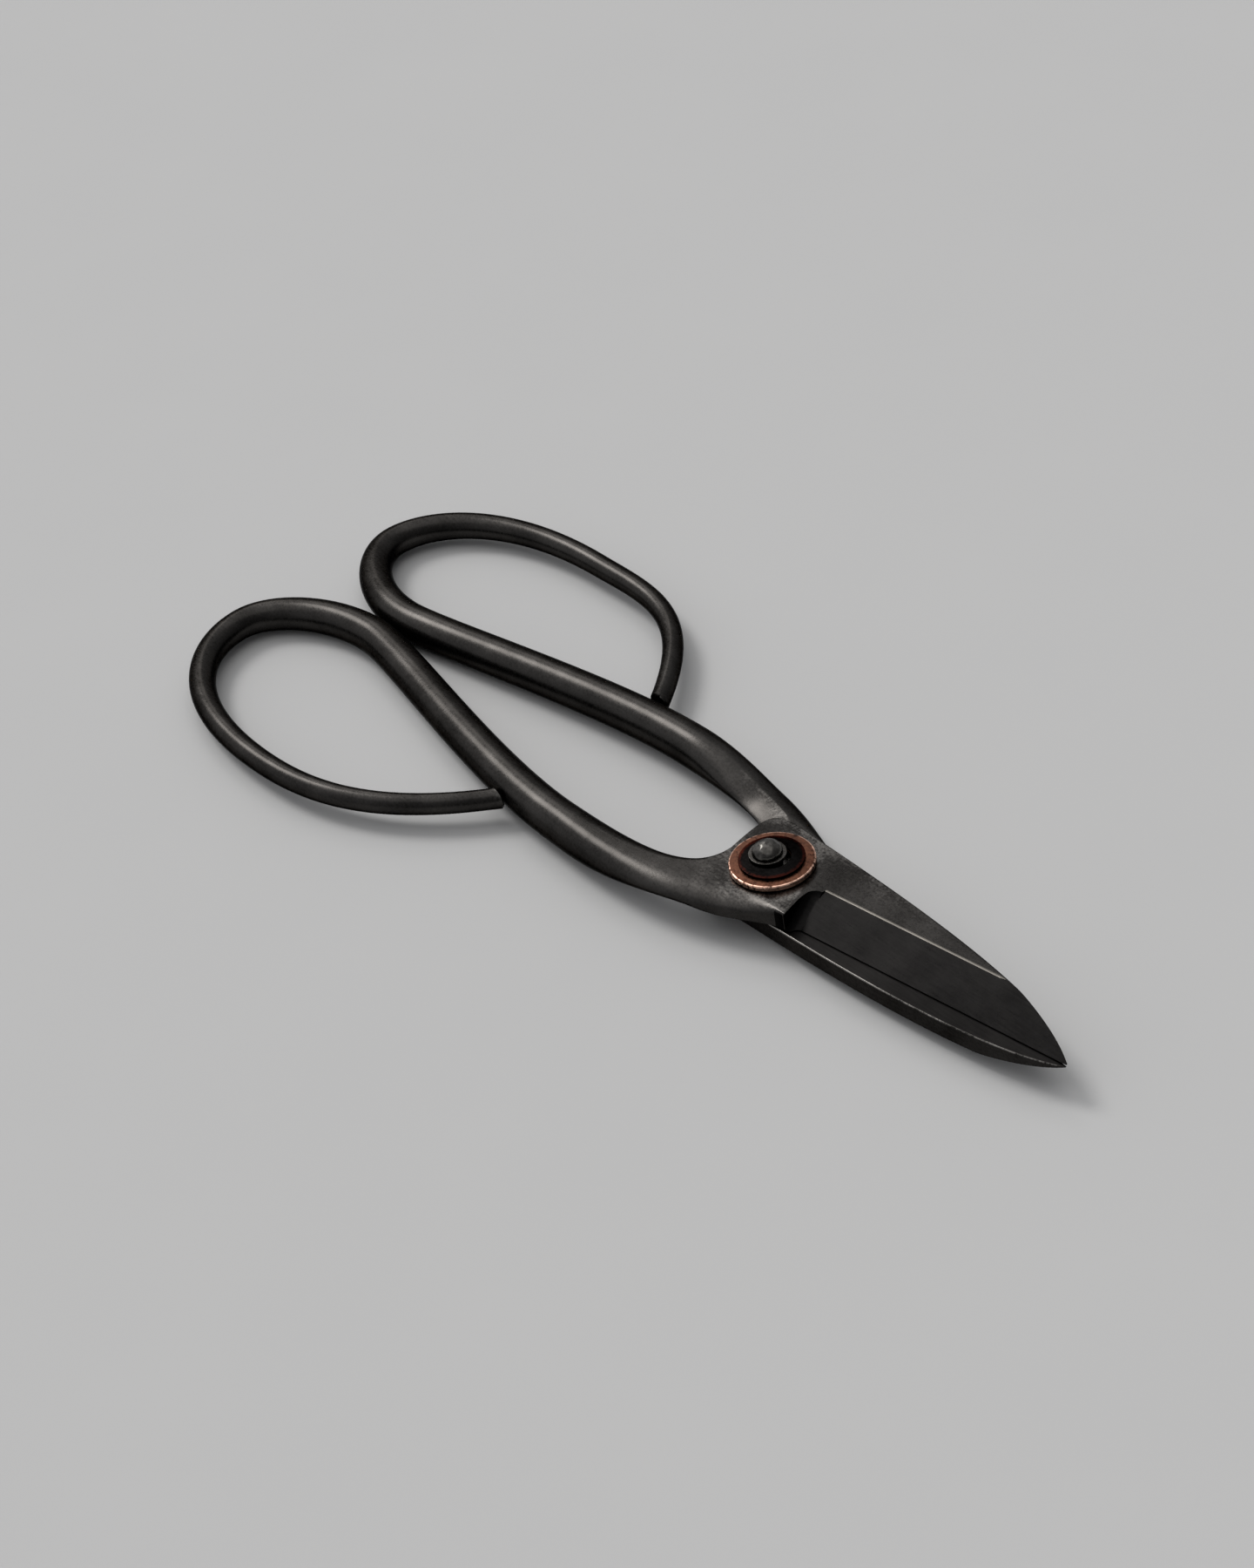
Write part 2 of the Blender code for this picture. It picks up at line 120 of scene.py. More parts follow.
# %% Node helpers
def add_node(tree, kind, sockets=None, **settings):
    """Add a node, set its plain settings, then fill sockets with values or link them from other nodes."""
    node = tree.nodes.new(kind)
    for name, value in settings.items():
        setattr(node, name, value)
    for key, value in (sockets or {}).items():
        if isinstance(value, bpy.types.NodeSocket):
            tree.links.new(value, node.inputs[key])
        else:
            node.inputs[key].default_value = value
    return node


def start_group(name, inputs, outputs):
    """A shader node group with (name, socket type, default) inputs and (name, socket type) outputs."""
    tree = bpy.data.node_groups.new(name, "ShaderNodeTree")
    for label, kind, value in inputs:
        socket = tree.interface.new_socket(label, in_out="INPUT", socket_type=kind)
        if value is not None:
            socket.default_value = value
    for label, kind in outputs:
        tree.interface.new_socket(label, in_out="OUTPUT", socket_type=kind)
    return tree, tree.nodes.new("NodeGroupInput"), tree.nodes.new("NodeGroupOutput")


def start_material(name):
    """A material with an empty tree but for its Principled shader, and the piece's own coordinates."""
    material = bpy.data.materials.new(name)
    material.use_nodes = True
    tree = material.node_tree
    place = tree.nodes.new("ShaderNodeTexCoord").outputs["Object"]
    return material, tree, tree.nodes["Principled BSDF"], place


print("helpers ready")

# %% [markdown]
# The floor is one even pale grey sheet, so wide that the camera sees nothing else. It is lit by distant
# lamps and the world, which give it the same light everywhere, so it needs no painted gradient. A faint
# mottle between two greys keeps it from looking like a flat fill.

# %% Floor finish
FLOOR_DARK = (0.474, 0.474, 0.474, 1)
FLOOR_LIGHT = (0.486, 0.485, 0.484, 1)

floor_finish, tree, shader, place = start_material("pale_floor")
mottle = add_node(tree, "ShaderNodeTexNoise", {"Vector": place, "Scale": 30.0, "Detail": 3.0})
tint = add_node(tree, "ShaderNodeMix", {"Factor": mottle.outputs["Fac"]}, data_type="RGBA")
tint.inputs["A"].default_value = FLOOR_DARK
tint.inputs["B"].default_value = FLOOR_LIGHT
tree.links.new(tint.outputs["Result"], shader.inputs["Base Color"])
shader.inputs["Roughness"].default_value = 0.9
shader.inputs["Specular IOR Level"].default_value = 0.05
floor.data.materials.append(floor_finish)
print("floor wears", floor_finish.name)

# %% [markdown]
# The world is a plain white room, bright at the back on the left and dim at the front on the right. It
# could be a picture of a studio, but a gradient made by nodes is enough: the dot product of the viewing
# direction with the bright side's direction runs from -1 to 1, and a power makes it fall off faster. The
# round bars show in which direction a room is bright, because each strip along a bar mirrors another
# direction.

# %% World
ROOM_DIM = 0.10
ROOM_BRIGHT = 1.0
ROOM_HEADING = 187
ROOM_HEIGHT = 30
ROOM_FALL = 2.0                    # power by which the room darkens away from its bright side


def direction(heading, height):
    """The direction with this heading from +X and this height above level, both in degrees."""
    heading = math.radians(heading)
    height = math.radians(height)
    level = math.cos(height)
    return Vector((math.cos(heading) * level, math.sin(heading) * level, math.sin(height)))


world = bpy.data.worlds.new("studio")
bpy.context.scene.world = world
world.use_nodes = True
tree = world.node_tree
bright_side = direction(ROOM_HEADING, ROOM_HEIGHT)
looking = add_node(tree, "ShaderNodeTexCoord")
facing = add_node(tree, "ShaderNodeVectorMath", {0: looking.outputs["Generated"], 1: bright_side},
                  operation="DOT_PRODUCT")
level = add_node(tree, "ShaderNodeMapRange",
                 {"Value": facing.outputs["Value"], "From Min": -1.0, "From Max": 1.0})
falling = add_node(tree, "ShaderNodeMath", {0: level.outputs["Result"], 1: ROOM_FALL}, operation="POWER")
strength = add_node(tree, "ShaderNodeMapRange",
                    {"Value": falling.outputs[0], "To Min": ROOM_DIM, "To Max": ROOM_BRIGHT})
tree.links.new(strength.outputs["Result"], tree.nodes["Background"].inputs["Strength"])
tree.nodes["Background"].inputs["Color"].default_value = (0.97, 0.98, 1.0, 1)
print("room from", ROOM_DIM, "to", ROOM_BRIGHT)

# %% [markdown]
# Dark steel shows the lamps more than its own colour, so their size matters more than their power. The
# left lamp gives the satin line along the bars. A very wide one overhead softens the shadows, and a weak
# one behind gives the sheen on the boss. All are suns with a wide face, which light the floor evenly and
# keep their size in every piece of metal.

# %% Lamps
LAMP_COLOUR = (1.0, 0.985, 0.965)


def add_lamp(name, energy, wide, heading, height):
    """A distant lamp of this width in this direction, all in degrees."""
    way = direction(heading, height)
    bpy.ops.object.select_all(action="DESELECT")
    bpy.ops.object.light_add(type="SUN", location=way)
    lamp = bpy.context.object
    lamp.name = name
    lamp.rotation_euler = way.to_track_quat("Z", "Y").to_euler()
    lamp.data.energy = energy
    lamp.data.angle = math.radians(wide)
    lamp.data.color = LAMP_COLOUR
    return lamp


lamps = [add_lamp("left_lamp", energy=1.3, wide=21, heading=187, height=47),
         add_lamp("overhead_lamp", energy=0.6, wide=70, heading=180, height=80),
         add_lamp("back_lamp", energy=0.16, wide=14, heading=155, height=37)]
bpy.context.scene.view_settings.view_transform = "Standard"
print("lamps:", [lamp.name for lamp in lamps])

# %% [markdown]
# Each half is one forging: a round bar that starts at the loop's cut end, curls round the loop, runs
# along the shank, flattens into the pivot boss and goes on as the blade. It could be a bevelled curve
# for the bar with a plate joined on, but the shank swells and flattens without a seam. So it is drawn as
# a smith draws it out: a ring of points is extruded again and again, and each new ring is laid on the
# next section of the bar.
#
# A section is described by its left and right points, its bottom and top, the roundings of its corners
# (upper left, upper right, lower right, lower left), and the polish of its upper side and of its lower
# left slope, which brightens the steel there: partly rubbed metal, partly painted sheen. A rounding has
# a size across, a depth and a power: 1 makes an oval, and towards 2 it becomes a straight slope.
# Left and right are seen from the cut end towards the tip. Sizes along and across are from the middle
# of the pattern, which lies a little ahead of the rivet hole and to one side of it.

# %% Sizes of the forgings
HALF_THICK = 3.4 * MM
SHEAR_HEIGHT = 4.925 * MM          # plane where the blades slide, above the rivet's foot
SHEAR_GAP = 0.25 * MM
FACE_Z = SHEAR_GAP / 2
TOP_Z = FACE_Z + HALF_THICK
HOLE_BACK = 0.8 * MM               # middle of the pattern to the rivet hole
HOLE_ASIDE = 1.0 * MM
SHANK_BAR = 7.6 * MM               # bar diameters
WAIST_BAR = 6.9 * MM
BACK_BAR = 5.65 * MM
REACH_BAR = 4.3 * MM
END_BAR = 3.7 * MM
LOOP_GAP = 0.3 * MM                # between the loops where they meet
INSIDE = 0.98                      # keeps the rounder bar within the faceted one of the solid
PLATE_ROUND = 0.45 * MM            # rounding of the upper and of the sliding edges of boss and blade
PLATE_EASE = 0.12 * MM
CORNER_STEPS = 14                  # points round each corner of a section
BAR_STEP = 1.6 * MM
AHEAD = Vector((1, 0))
print("bar tapers from", SHANK_BAR / MM, "to", END_BAR / MM, "mm")

# %% [markdown]
# The loop is four Bezier stretches: from the cut end to the widest point, round the back, to where the
# two loops meet, and along the shank to its bow. Curves that share a heading where they meet make one
# smooth bar. The two loops were curled by hand, so each half has its own reach, curl and bow. The bar's
# end is cut slantwise, along the side of the shank that it stops at.

# %% Sections round the loop
END = Vector((-51.9, -17.45)) * MM
END_HEADING = Vector((-math.cos(math.radians(54)), -math.sin(math.radians(54))))
END_LIE = Vector((math.cos(math.radians(-8)), math.sin(math.radians(-8))))
REACH_BACK = 94.0 * MM
BACK = Vector((-130.2, -17.6)) * MM
WAIST = Vector((-107.5 * MM, -(WAIST_BAR + LOOP_GAP) / 2))
BOW_BACK = 38.0 * MM
UPPER_SHAPE = {"reach": 39.0 * MM, "curl": 0.47, "bow": 14.4 * MM}
LOWER_SHAPE = {"reach": 37.3 * MM, "curl": 0.58, "bow": 13.6 * MM}
BEND_SPARE = 1.15                  # a stretch is about this much longer than the line between its ends
REACH_TRAIL = 0.36                 # how far the curve's handles reach, as shares of the way
REACH_LEAD = 0.71
BACK_TRAIL = 0.44
BACK_LEAD = 0.48
WAIST_TRAIL = 0.55
WAIST_LEAD = 0.13
BOW_TRAIL = 0.32


def bar_stretch(start, leaving, finish, arriving, lead, trail, first_bar, last_bar):
    """Round sections along one Bezier stretch of the bar, without its last point."""
    count = round((finish - start).length * BEND_SPARE / BAR_STEP)
    path = interpolate_bezier(start, start + leaving * lead, finish - arriving * trail, finish, count + 1)
    path = [Vector(point[:2]) for point in path]
    sections = []
    for index in range(count):
        heading = path[index + 1] - path[max(index - 1, 0)]
        if index == 0:
            heading = leaving
        radius = (first_bar + (last_bar - first_bar) * index / count) / 2 * INSIDE
        side = Vector((-heading.y, heading.x)).normalized() * radius
        roundings = [(radius, radius, 1)] * 4
        sections.append((path[index] + side, path[index] - side, -radius, radius, roundings, (0, 0)))
    return sections


def loop_sections(shape):
    """Sections from the cut end round the loop and along the shank to its bow."""
    reach = Vector((-REACH_BACK, -shape["reach"]))
    bow = Vector((-BOW_BACK, -shape["bow"]))
    up = Vector((0, 1))
    sections = bar_stretch(END, END_HEADING, reach, -AHEAD, (reach - END).length * shape["curl"],
                           (END - reach).x * REACH_TRAIL, END_BAR, REACH_BAR)
    sections += bar_stretch(reach, -AHEAD, BACK, up, (reach - BACK).x * REACH_LEAD,
                            (BACK - reach).y * BACK_TRAIL, REACH_BAR, BACK_BAR)
    sections += bar_stretch(BACK, up, WAIST, AHEAD, (WAIST - BACK).y * BACK_LEAD,
                            (WAIST - BACK).x * WAIST_TRAIL, BACK_BAR, WAIST_BAR)
    sections += bar_stretch(WAIST, AHEAD, bow, AHEAD, (bow - WAIST).x * WAIST_LEAD,
                            (bow - WAIST).x * BOW_TRAIL, WAIST_BAR, SHANK_BAR)
    square = Vector((-END_HEADING.y, END_HEADING.x))
    cut = END_LIE / END_LIE.dot(square) * END_BAR / 2 * INSIDE
    sections[0] = (END + cut, END - cut, *sections[0][2:])
    return sections


print(len(loop_sections(UPPER_SHAPE)), "sections round the loop")

# %% [markdown]
# From the bow on, the bar is hammered flat. Its inner edge sweeps through the crotch and round the boss
# corner, its outer edge swings over to the boss's tail beside the heel of the blade. The hammer leaves
# broad, shallow slopes: one along the inner edge of the sliding face, down to a crisp corner, and one
# along the outer edge of the upper face, which dies out at the tail. Round corners would look like a
# routed board.

# %% Sizes of the shank and boss
SPINE = Vector((1.9, 8.45)) * MM             # where the boss ends and the blade's spine starts
HEEL = Vector((9.3, -6.4)) * MM              # back end of the cutting edge
CROTCH_PAST = 2.0 * MM
CROTCH_PULL = 17.0 * MM
CROTCH_SHARE = 0.6                  # share of the sections that lie before the crotch
CORNER_PULL = 2.0 * MM
FLAT_BY = 0.45                      # share of the way by which the upper side is flat
EDGED_BY = 0.75                     # share of the way by which the inner upper edge is crisp
SLOPE = (4.8 * MM, 1.75 * MM, 1.6)  # slope along the inner edge of the sliding face
SLOPE_FROM = (0.0, 0.29)
SLOPE_END = (0.5, 0.75)
ROLL = (4.8 * MM, 1.8 * MM, 1.25)   # slope along the outer edge of the upper face
ROLL_FROM = (0.1, 0.62)
ROLL_END = (0.66, 1.0)
ARRIS_ROUND = 0.28 * MM             # worn inner edge of the sliding face
POLISH_AND_SHEEN = 0.55                       # how much the boss is brightened: rubbed by hands and pouches, and painted sheen
POLISH_AND_SHEEN_FROM = (0.3, 0.65)
SLOPE_POLISH_AND_SHEEN = 0.5                  # how much the slope beside the crotch is brightened: rubbed, and painted highlight
SLOPE_POLISH_AND_SHEEN_FROM = (0.08, 0.28)
SHANK_STEPS = 110
UPPER_SHAPE.update(back=8.9 * MM,
                   bow_pull=Vector((-3.0, -20.2)) * MM, tail_pull=Vector((3.9, -8.1)) * MM,
                   tail=Vector((10.4, -7.8)) * MM, slide_by=0.45, slide_round=(0.2, 0.6))
LOWER_SHAPE.update(back=10.6 * MM,
                   bow_pull=Vector((-9.0, -18.1)) * MM, tail_pull=Vector((-4.5, -11.6)) * MM,
                   tail=Vector((9.3, -6.8)) * MM, slide_by=0.30, slide_round=(0.3, 0.85))
print("boss flat after", round(SHANK_STEPS * FLAT_BY), "of", SHANK_STEPS, "sections")

# %% [markdown]
# Every size on the way from bar to boss changes gently: it starts slowly, runs, and comes to rest.
# Straight changes would show as kinks in the highlights. Each half has its own shares of the way by
# which its sliding side is flat (slide_by) and between which the outer edge there gets crisp
# (slide_round).

# %% Sections of the shank and boss
def eased(share):
    """A share from 0 to 1 that starts and ends gently."""
    share = max(0.0, min(1.0, share))
    return share * share * (3 - 2 * share)


def eased_within(share, limits):
    """The same between two limits."""
    return eased((share - limits[0]) / (limits[1] - limits[0]))


def changed(start, middle, finish, way, first, last):
    """A size on its way from start to middle within the first limits, and on to finish within the last."""
    return start + (middle - start) * eased_within(way, first) + (finish - middle) * eased_within(way, last)


def shank_sections(shape):
    """Sections from the bow of the shank through the boss."""
    bar = SHANK_BAR / 2 * INSIDE
    bow_inner = Vector((-BOW_BACK, -shape["bow"] + bar))
    bow_outer = Vector((-BOW_BACK, -shape["bow"] - bar))
    crotch = Vector((-shape["back"], -CROTCH_PAST))
    corner = Vector((-shape["back"] - CORNER_PULL, SPINE.y + CORNER_PULL / 4))
    crotch_steps = round(SHANK_STEPS * CROTCH_SHARE)
    crotch_handle = crotch - Vector((0, CROTCH_PULL / 2))
    inner = interpolate_bezier(
        bow_inner, bow_inner + AHEAD * CROTCH_PULL, crotch_handle, crotch, crotch_steps + 1)
    inner += interpolate_bezier(crotch, corner, corner, SPINE, SHANK_STEPS - crotch_steps + 1)[1:]
    outer = interpolate_bezier(
        bow_outer, shape["bow_pull"], shape["tail_pull"], shape["tail"], SHANK_STEPS + 1)
    round_bar = (bar, bar, 1)
    tail_edge = (PLATE_ROUND, PLATE_ROUND, 1)
    arris = (ARRIS_ROUND, ARRIS_ROUND, 1)
    sections = []
    for index in range(SHANK_STEPS):
        way = index / SHANK_STEPS
        inner_upper = bar + (PLATE_ROUND - bar) * eased(way / EDGED_BY)
        outer_slide = bar + (PLATE_EASE - bar) * eased_within(way, shape["slide_round"])
        roll = [changed(*sizes, way, ROLL_FROM, ROLL_END) for sizes in zip(round_bar, ROLL, tail_edge)]
        slope = [changed(*sizes, way, SLOPE_FROM, SLOPE_END) for sizes in zip(round_bar, SLOPE, arris)]
        roundings = [(inner_upper, inner_upper, 1), roll, (outer_slide, outer_slide, 1), slope]
        bottom = -bar + (FACE_Z + bar) * eased(way / shape["slide_by"])
        top = bar + (TOP_Z - bar) * eased(way / FLAT_BY)
        # Polish brightens the upper side and the crotch slope: partly rubbed steel, partly painted sheen.
        polish_and_sheen = (POLISH_AND_SHEEN * eased_within(way, POLISH_AND_SHEEN_FROM),
                  changed(0, SLOPE_POLISH_AND_SHEEN, 0, way, SLOPE_POLISH_AND_SHEEN_FROM, SLOPE_END))
        sections.append((Vector(inner[index][:2]), Vector(outer[index][:2]), bottom, top, roundings, polish_and_sheen))
    return sections


print(len(shank_sections(UPPER_SHAPE)), "sections along the shank")

# %% [markdown]
# The blade is a flat plate between its curved spine and its straight edge, until the grind takes its
# slope. A plate cut from an outline would have a seam at the boss. The rings of the shank go on instead,
# getting narrower towards the tip, and their roundings shrink where the blade is too narrow for them.

# %% Sections of the blade
TIP = Vector((64.8, 0)) * MM
TIP_WIDTH = 0.4 * MM
TIP_TURN = math.radians(29)
BLADE_STEPS = 48
SPINE_LEAD = 0.47                  # handles of the spine's curve, as shares of its length and drop
SPINE_DROP = 0.08
TIP_TRAIL = 0.175
NARROW = 4 * PLATE_ROUND           # width below which the roundings shrink
POLISH_AND_SHEEN_FADES = 0.8                 # share of the blade by which the boss's polish and painted sheen have faded


def blade_sections(shape):
    """Sections from the boss to the tip."""
    half_tip = Vector((0, TIP_WIDTH / 2))
    length = (TIP - SPINE).length
    tip_heading = Vector((math.cos(TIP_TURN), -math.sin(TIP_TURN)))
    spine = interpolate_bezier(
        SPINE, SPINE + Vector((length * SPINE_LEAD, -SPINE.y * SPINE_DROP)),
        TIP + half_tip - tip_heading * length * TIP_TRAIL, TIP + half_tip, BLADE_STEPS + 1)
    sections = []
    for point in spine:
        left = Vector(point[:2])
        reach = (left.x - SPINE.x) / (TIP.x - SPINE.x)
        right = shape["tail"].lerp(TIP - half_tip, reach)
        narrow = min(1.0, (left - right).length / NARROW)
        sizes = [PLATE_ROUND, PLATE_ROUND, PLATE_EASE, ARRIS_ROUND]
        roundings = [(size * narrow, size * narrow, 1) for size in sizes]
        # The boss's polish, rubbed steel and painted sheen, fades along the blade.
        polish_and_sheen = (POLISH_AND_SHEEN * (1 - eased(reach / POLISH_AND_SHEEN_FADES)), 0)
        sections.append((left, right, FACE_Z, TOP_Z, roundings, polish_and_sheen))
    return sections


print("blade", round((TIP - HEEL).length / MM, 1), "mm of edge")

# %% [markdown]
# A section becomes a ring of points: four corners with a fan of points each. A round bar is the case
# where the corners' roundings are half of the bar. The upper half lies as drawn, with its loop on the
# near side. The lower half is the same pattern turned over along the snips, so its points change sign
# across and in height.
#
# Every point also gets a share of wear, because a corner is rubbed bare where it is sharp: none on the
# round bar, most in the middle of a small rounding. The polish of the section goes into the same share,
# partly as rubbed steel and partly as painted sheen. The finish reads it later as an attribute of the
# mesh.

# %% Rings of points
BLUNT = 1.3 * MM                   # rounding from which a corner no longer wears
RUBBED = [0.4, 0.2, 0.3, 1.6]      # how much each corner is rubbed, the sliding face's inner edge most
CORNERS = [(1, 1), (-1, 1), (-1, -1), (1, -1)]   # side and height of the corners, in the order of a ring


def in_place(x, y, z, turn):
    """A pattern point in the frame of the snips; turn is 1 for the upper half and -1 for the lower."""
    return Vector((x + HOLE_BACK, turn * y + HOLE_ASIDE, SHEAR_HEIGHT + turn * z))


def ring_points(section, turn):
    """The (point, wear) pairs round one section; the wear share also holds the painted sheen."""
    left, right, bottom, top, roundings, polish_and_sheen = section
    width = (left - right).length
    tall = top - bottom
    across = (left - right).normalized()
    middle = (left + right) / 2
    ring = []
    for quarter, (side, up) in enumerate(CORNERS):
        broad, deep, power = roundings[quarter]
        blunt = max(broad, deep)
        deep *= min(1, tall / (deep + roundings[3 - quarter][1]))
        broad *= min(1, width / (broad + roundings[quarter ^ 1][0]))
        centre_side = side * (width / 2 - broad)
        centre_up = (bottom + top) / 2 + up * (tall / 2 - deep)
        for step in range(CORNER_STEPS):
            share = (step + 0.5) / CORNER_STEPS
            angle = math.radians(90 * (quarter + share))
            outward = side * broad * abs(math.cos(angle)) ** power
            upward = up * deep * abs(math.sin(angle)) ** power
            spot = middle + across * (centre_side + outward)
            point = in_place(spot.x, spot.y, centre_up + upward, turn)
            wear = RUBBED[quarter] * max(0.0, 1 - blunt / BLUNT) * math.sin(math.pi * share) ** 2
            towards = share if up == side else 1 - share
            # The polish of the upper side and the crotch slope: rubbed steel and painted sheen.
            rubbed_and_sheen = [polish_and_sheen[0], polish_and_sheen[0], 0, polish_and_sheen[1]][quarter] * towards
            ring.append((point, max(wear, rubbed_and_sheen)))
    return ring


print(4 * CORNER_STEPS, "points in each ring")

# %% [markdown]
# The drawing out itself. A circle with as many points as a ring is added, filled, and numbered, and its
# points are laid on the first section. Extruding copies the numbers, so every new ring knows which of
# its points goes where. The face at the end rides along with the extrusion and closes the tip, as the
# first one closes the cut end. The cut end starts with a slightly smaller ring, which is the file stroke
# that takes off its burr.

# %% Draw out a half
END_EASE = 0.3 * MM                # file stroke round the cut end
END_WEAR = 0.6                     # wear of the cut end and of the rim round it
END_RIM_WEAR = 0.4


def lay_selected(piece, ring):
    """Move each selected point to the place that its number gives, and note its wear."""
    mesh = bmesh.from_edit_mesh(piece.data)
    number = mesh.verts.layers.int["number"]
    worn_and_sheen = mesh.verts.layers.float["wear"]
    for vertex in mesh.verts:
        if vertex.select:
            vertex.co, vertex[worn_and_sheen] = ring[vertex[number]]
    bmesh.update_edit_mesh(piece.data)


def start_ring(name, ring):
    """A filled circle in edit mode, its points numbered and laid on this ring."""
    bpy.ops.object.select_all(action="DESELECT")
    bpy.ops.mesh.primitive_circle_add(vertices=len(ring), radius=MM, fill_type="NGON")
    piece = bpy.context.object
    piece.name = name
    piece.data.attributes.new("wear", "FLOAT", "POINT")
    numbers = piece.data.attributes.new("number", "INT", "POINT")
    for index, item in enumerate(numbers.data):
        item.value = index
    bpy.ops.object.mode_set(mode="EDIT")
    bpy.ops.mesh.select_all(action="SELECT")
    lay_selected(piece, ring)
    return piece


def draw_out(name, sections, turn):
    """One half as a closed mesh, drawn out from its cut end to its tip."""
    rings = [ring_points(section, turn) for section in sections]
    first = [point for point, wear in rings[0]]
    middle = sum(first, Vector()) / len(first)
    filed = 1 - 2 * END_EASE / END_BAR
    onward = (rings[1][0][0] - first[0]).normalized() * END_EASE
    piece = start_ring(name, [(middle + (point - middle) * filed, END_WEAR) for point in first])
    for ring in [[(point + onward, END_RIM_WEAR) for point in first], *rings[1:]]:
        bpy.ops.mesh.extrude_region_move()
        lay_selected(piece, ring)
    bpy.ops.mesh.select_all(action="SELECT")
    bpy.ops.mesh.normals_make_consistent(inside=False)
    bpy.ops.object.mode_set(mode="OBJECT")
    return piece


def all_sections(shape):
    return loop_sections(shape) + shank_sections(shape) + blade_sections(shape)


upper_half = draw_out("upper_forging", all_sections(UPPER_SHAPE), 1)
lower_half = draw_out("lower_forging", all_sections(LOWER_SHAPE), -1)
for half in (upper_half, lower_half):
    print(half.name, len(half.data.polygons), "faces")

# %% [markdown]
# The blade gets its edge on a wheel: one slanting face from a ridge near the middle of the blade down to
# the cutting edge, which starts with a round run-out where the wheel was set down. A bisect would cut a
# clean plane but no run-out, so a cutter with the shape of what the wheel removed is modelled and
# subtracted. Its outline is laid on the slanting plane, extruded upwards, and the edge round its start
# is bevelled to the wheel's rounding.

# %% Outline of the grind
GRIND_AHEAD = 8.85 * MM            # middle of the pattern to the start of the grind
GRIND_CORNER = 2.4 * MM            # rounding where the start meets the ridge
GRIND_FLARE = 3.0 * MM             # how far ahead the start slants on its way past the edge
GRIND_STEPS = 12
RIDGE_PAST = 0.4 * MM              # ridge from the middle of the pattern, beside the heel
RIDGE_SLACK = 0.2 * MM             # keeps the cutter's side past the ridge
CUTTER_SPARE = 6 * MM


def grind_plane():
    """A point of the ground face and its normal, in pattern coordinates."""
    heel = Vector((HEEL.x, HEEL.y, FACE_Z))
    tip = Vector((TIP.x, 0, FACE_Z))
    ridge = Vector((HEEL.x, RIDGE_PAST, TOP_Z))
    return heel, (tip - heel).cross(ridge - heel).normalized()


def grind_outline():
    """The cutter seen from above: a rounded corner at the ridge and straight sides past the blade."""
    along = (TIP - HEEL).normalized()
    slope = along.y / along.x
    turn = math.pi / 2 - math.atan(slope)
    centre = Vector((GRIND_AHEAD + GRIND_CORNER,
                     RIDGE_PAST + RIDGE_SLACK - GRIND_CORNER * along.x + GRIND_CORNER * slope))
    near = HEEL.y - CUTTER_SPARE
    far = TIP.x + CUTTER_SPARE
    outline = [Vector((GRIND_AHEAD + GRIND_FLARE, near))]
    for step in range(GRIND_STEPS + 1):
        angle = math.pi - turn * step / GRIND_STEPS
        outline.append(centre + Vector((math.cos(angle), math.sin(angle))) * GRIND_CORNER)
    last = outline[-1]
    outline.append(Vector((far, last.y + (far - last.x) * slope + CUTTER_SPARE)))
    outline.append(Vector((far, near)))
    return outline


print(len(grind_outline()), "points round the grind")

# %% [markdown]
# The cutter starts as a ring with the outline's points, laid on the slanting plane. Its points are
# numbered, so the edges of the lower rim that lie round the start can be picked by number, and only
# these get the wheel's rounding.

# %% Grind the blades
WHEEL_ROUND = 2.2 * MM             # rounding between the start of the grind and the ground face
SAME_SPOT = 0.001 * MM             # points closer than this are the same
STRAIGHT_SIDES = 3                 # sides of the outline past the rounded start, which stay sharp


def grind_height(spot):
    """Height of the ground face over a spot of the pattern."""
    point, normal = grind_plane()
    return point.z - (normal.x * (spot.x - point.x) + normal.y * (spot.y - point.y)) / normal.z


def grind_cutter(turn):
    """The shape of what the wheel takes off one half."""
    outline = grind_outline()
    heights = [grind_height(spot) for spot in outline]
    lowest = [in_place(spot.x, spot.y, height, turn) for spot, height in zip(outline, heights)]
    cutter = start_ring("grind_cutter", [(point, 0.0) for point in lowest])
    rise = Vector((0, 0, turn * (max(heights) + CUTTER_SPARE)))
    bpy.ops.mesh.extrude_region_move(TRANSFORM_OT_translate={"value": rise})
    bpy.ops.mesh.select_all(action="DESELECT")
    bpy.ops.mesh.select_mode(type="EDGE")
    mesh = bmesh.from_edit_mesh(cutter.data)
    number = mesh.verts.layers.int["number"]
    for edge in mesh.edges:
        numbers = sorted(vertex[number] for vertex in edge.verts)
        low = all((vertex.co - lowest[vertex[number]]).length < SAME_SPOT for vertex in edge.verts)
        at_start = numbers[1] - numbers[0] == 1 and numbers[1] <= len(outline) - STRAIGHT_SIDES
        edge.select = low and at_start
    bmesh.update_edit_mesh(cutter.data)
    bpy.ops.mesh.bevel(offset=WHEEL_ROUND, segments=GRIND_STEPS, affect="EDGES")
    bpy.ops.mesh.select_all(action="SELECT")
    bpy.ops.mesh.normals_make_consistent(inside=False)
    bpy.ops.mesh.select_mode(type="VERT")
    bpy.ops.object.mode_set(mode="OBJECT")
    return cutter


def subtract(piece, cutter):
    """Cut one mesh out of another and throw the cutter away."""
    bpy.ops.object.select_all(action="DESELECT")
    piece.select_set(True)
    bpy.context.view_layer.objects.active = piece
    cut = piece.modifiers.new("cut", "BOOLEAN")
    cut.operation = "DIFFERENCE"
    cut.solver = "EXACT"
    cut.object = cutter
    bpy.ops.object.modifier_apply(modifier=cut.name)
    bpy.data.objects.remove(cutter, do_unlink=True)


for half, turn in ((upper_half, 1), (lower_half, -1)):
    subtract(half, grind_cutter(turn))
    print(half.name, "ground,", len(half.data.polygons), "faces")

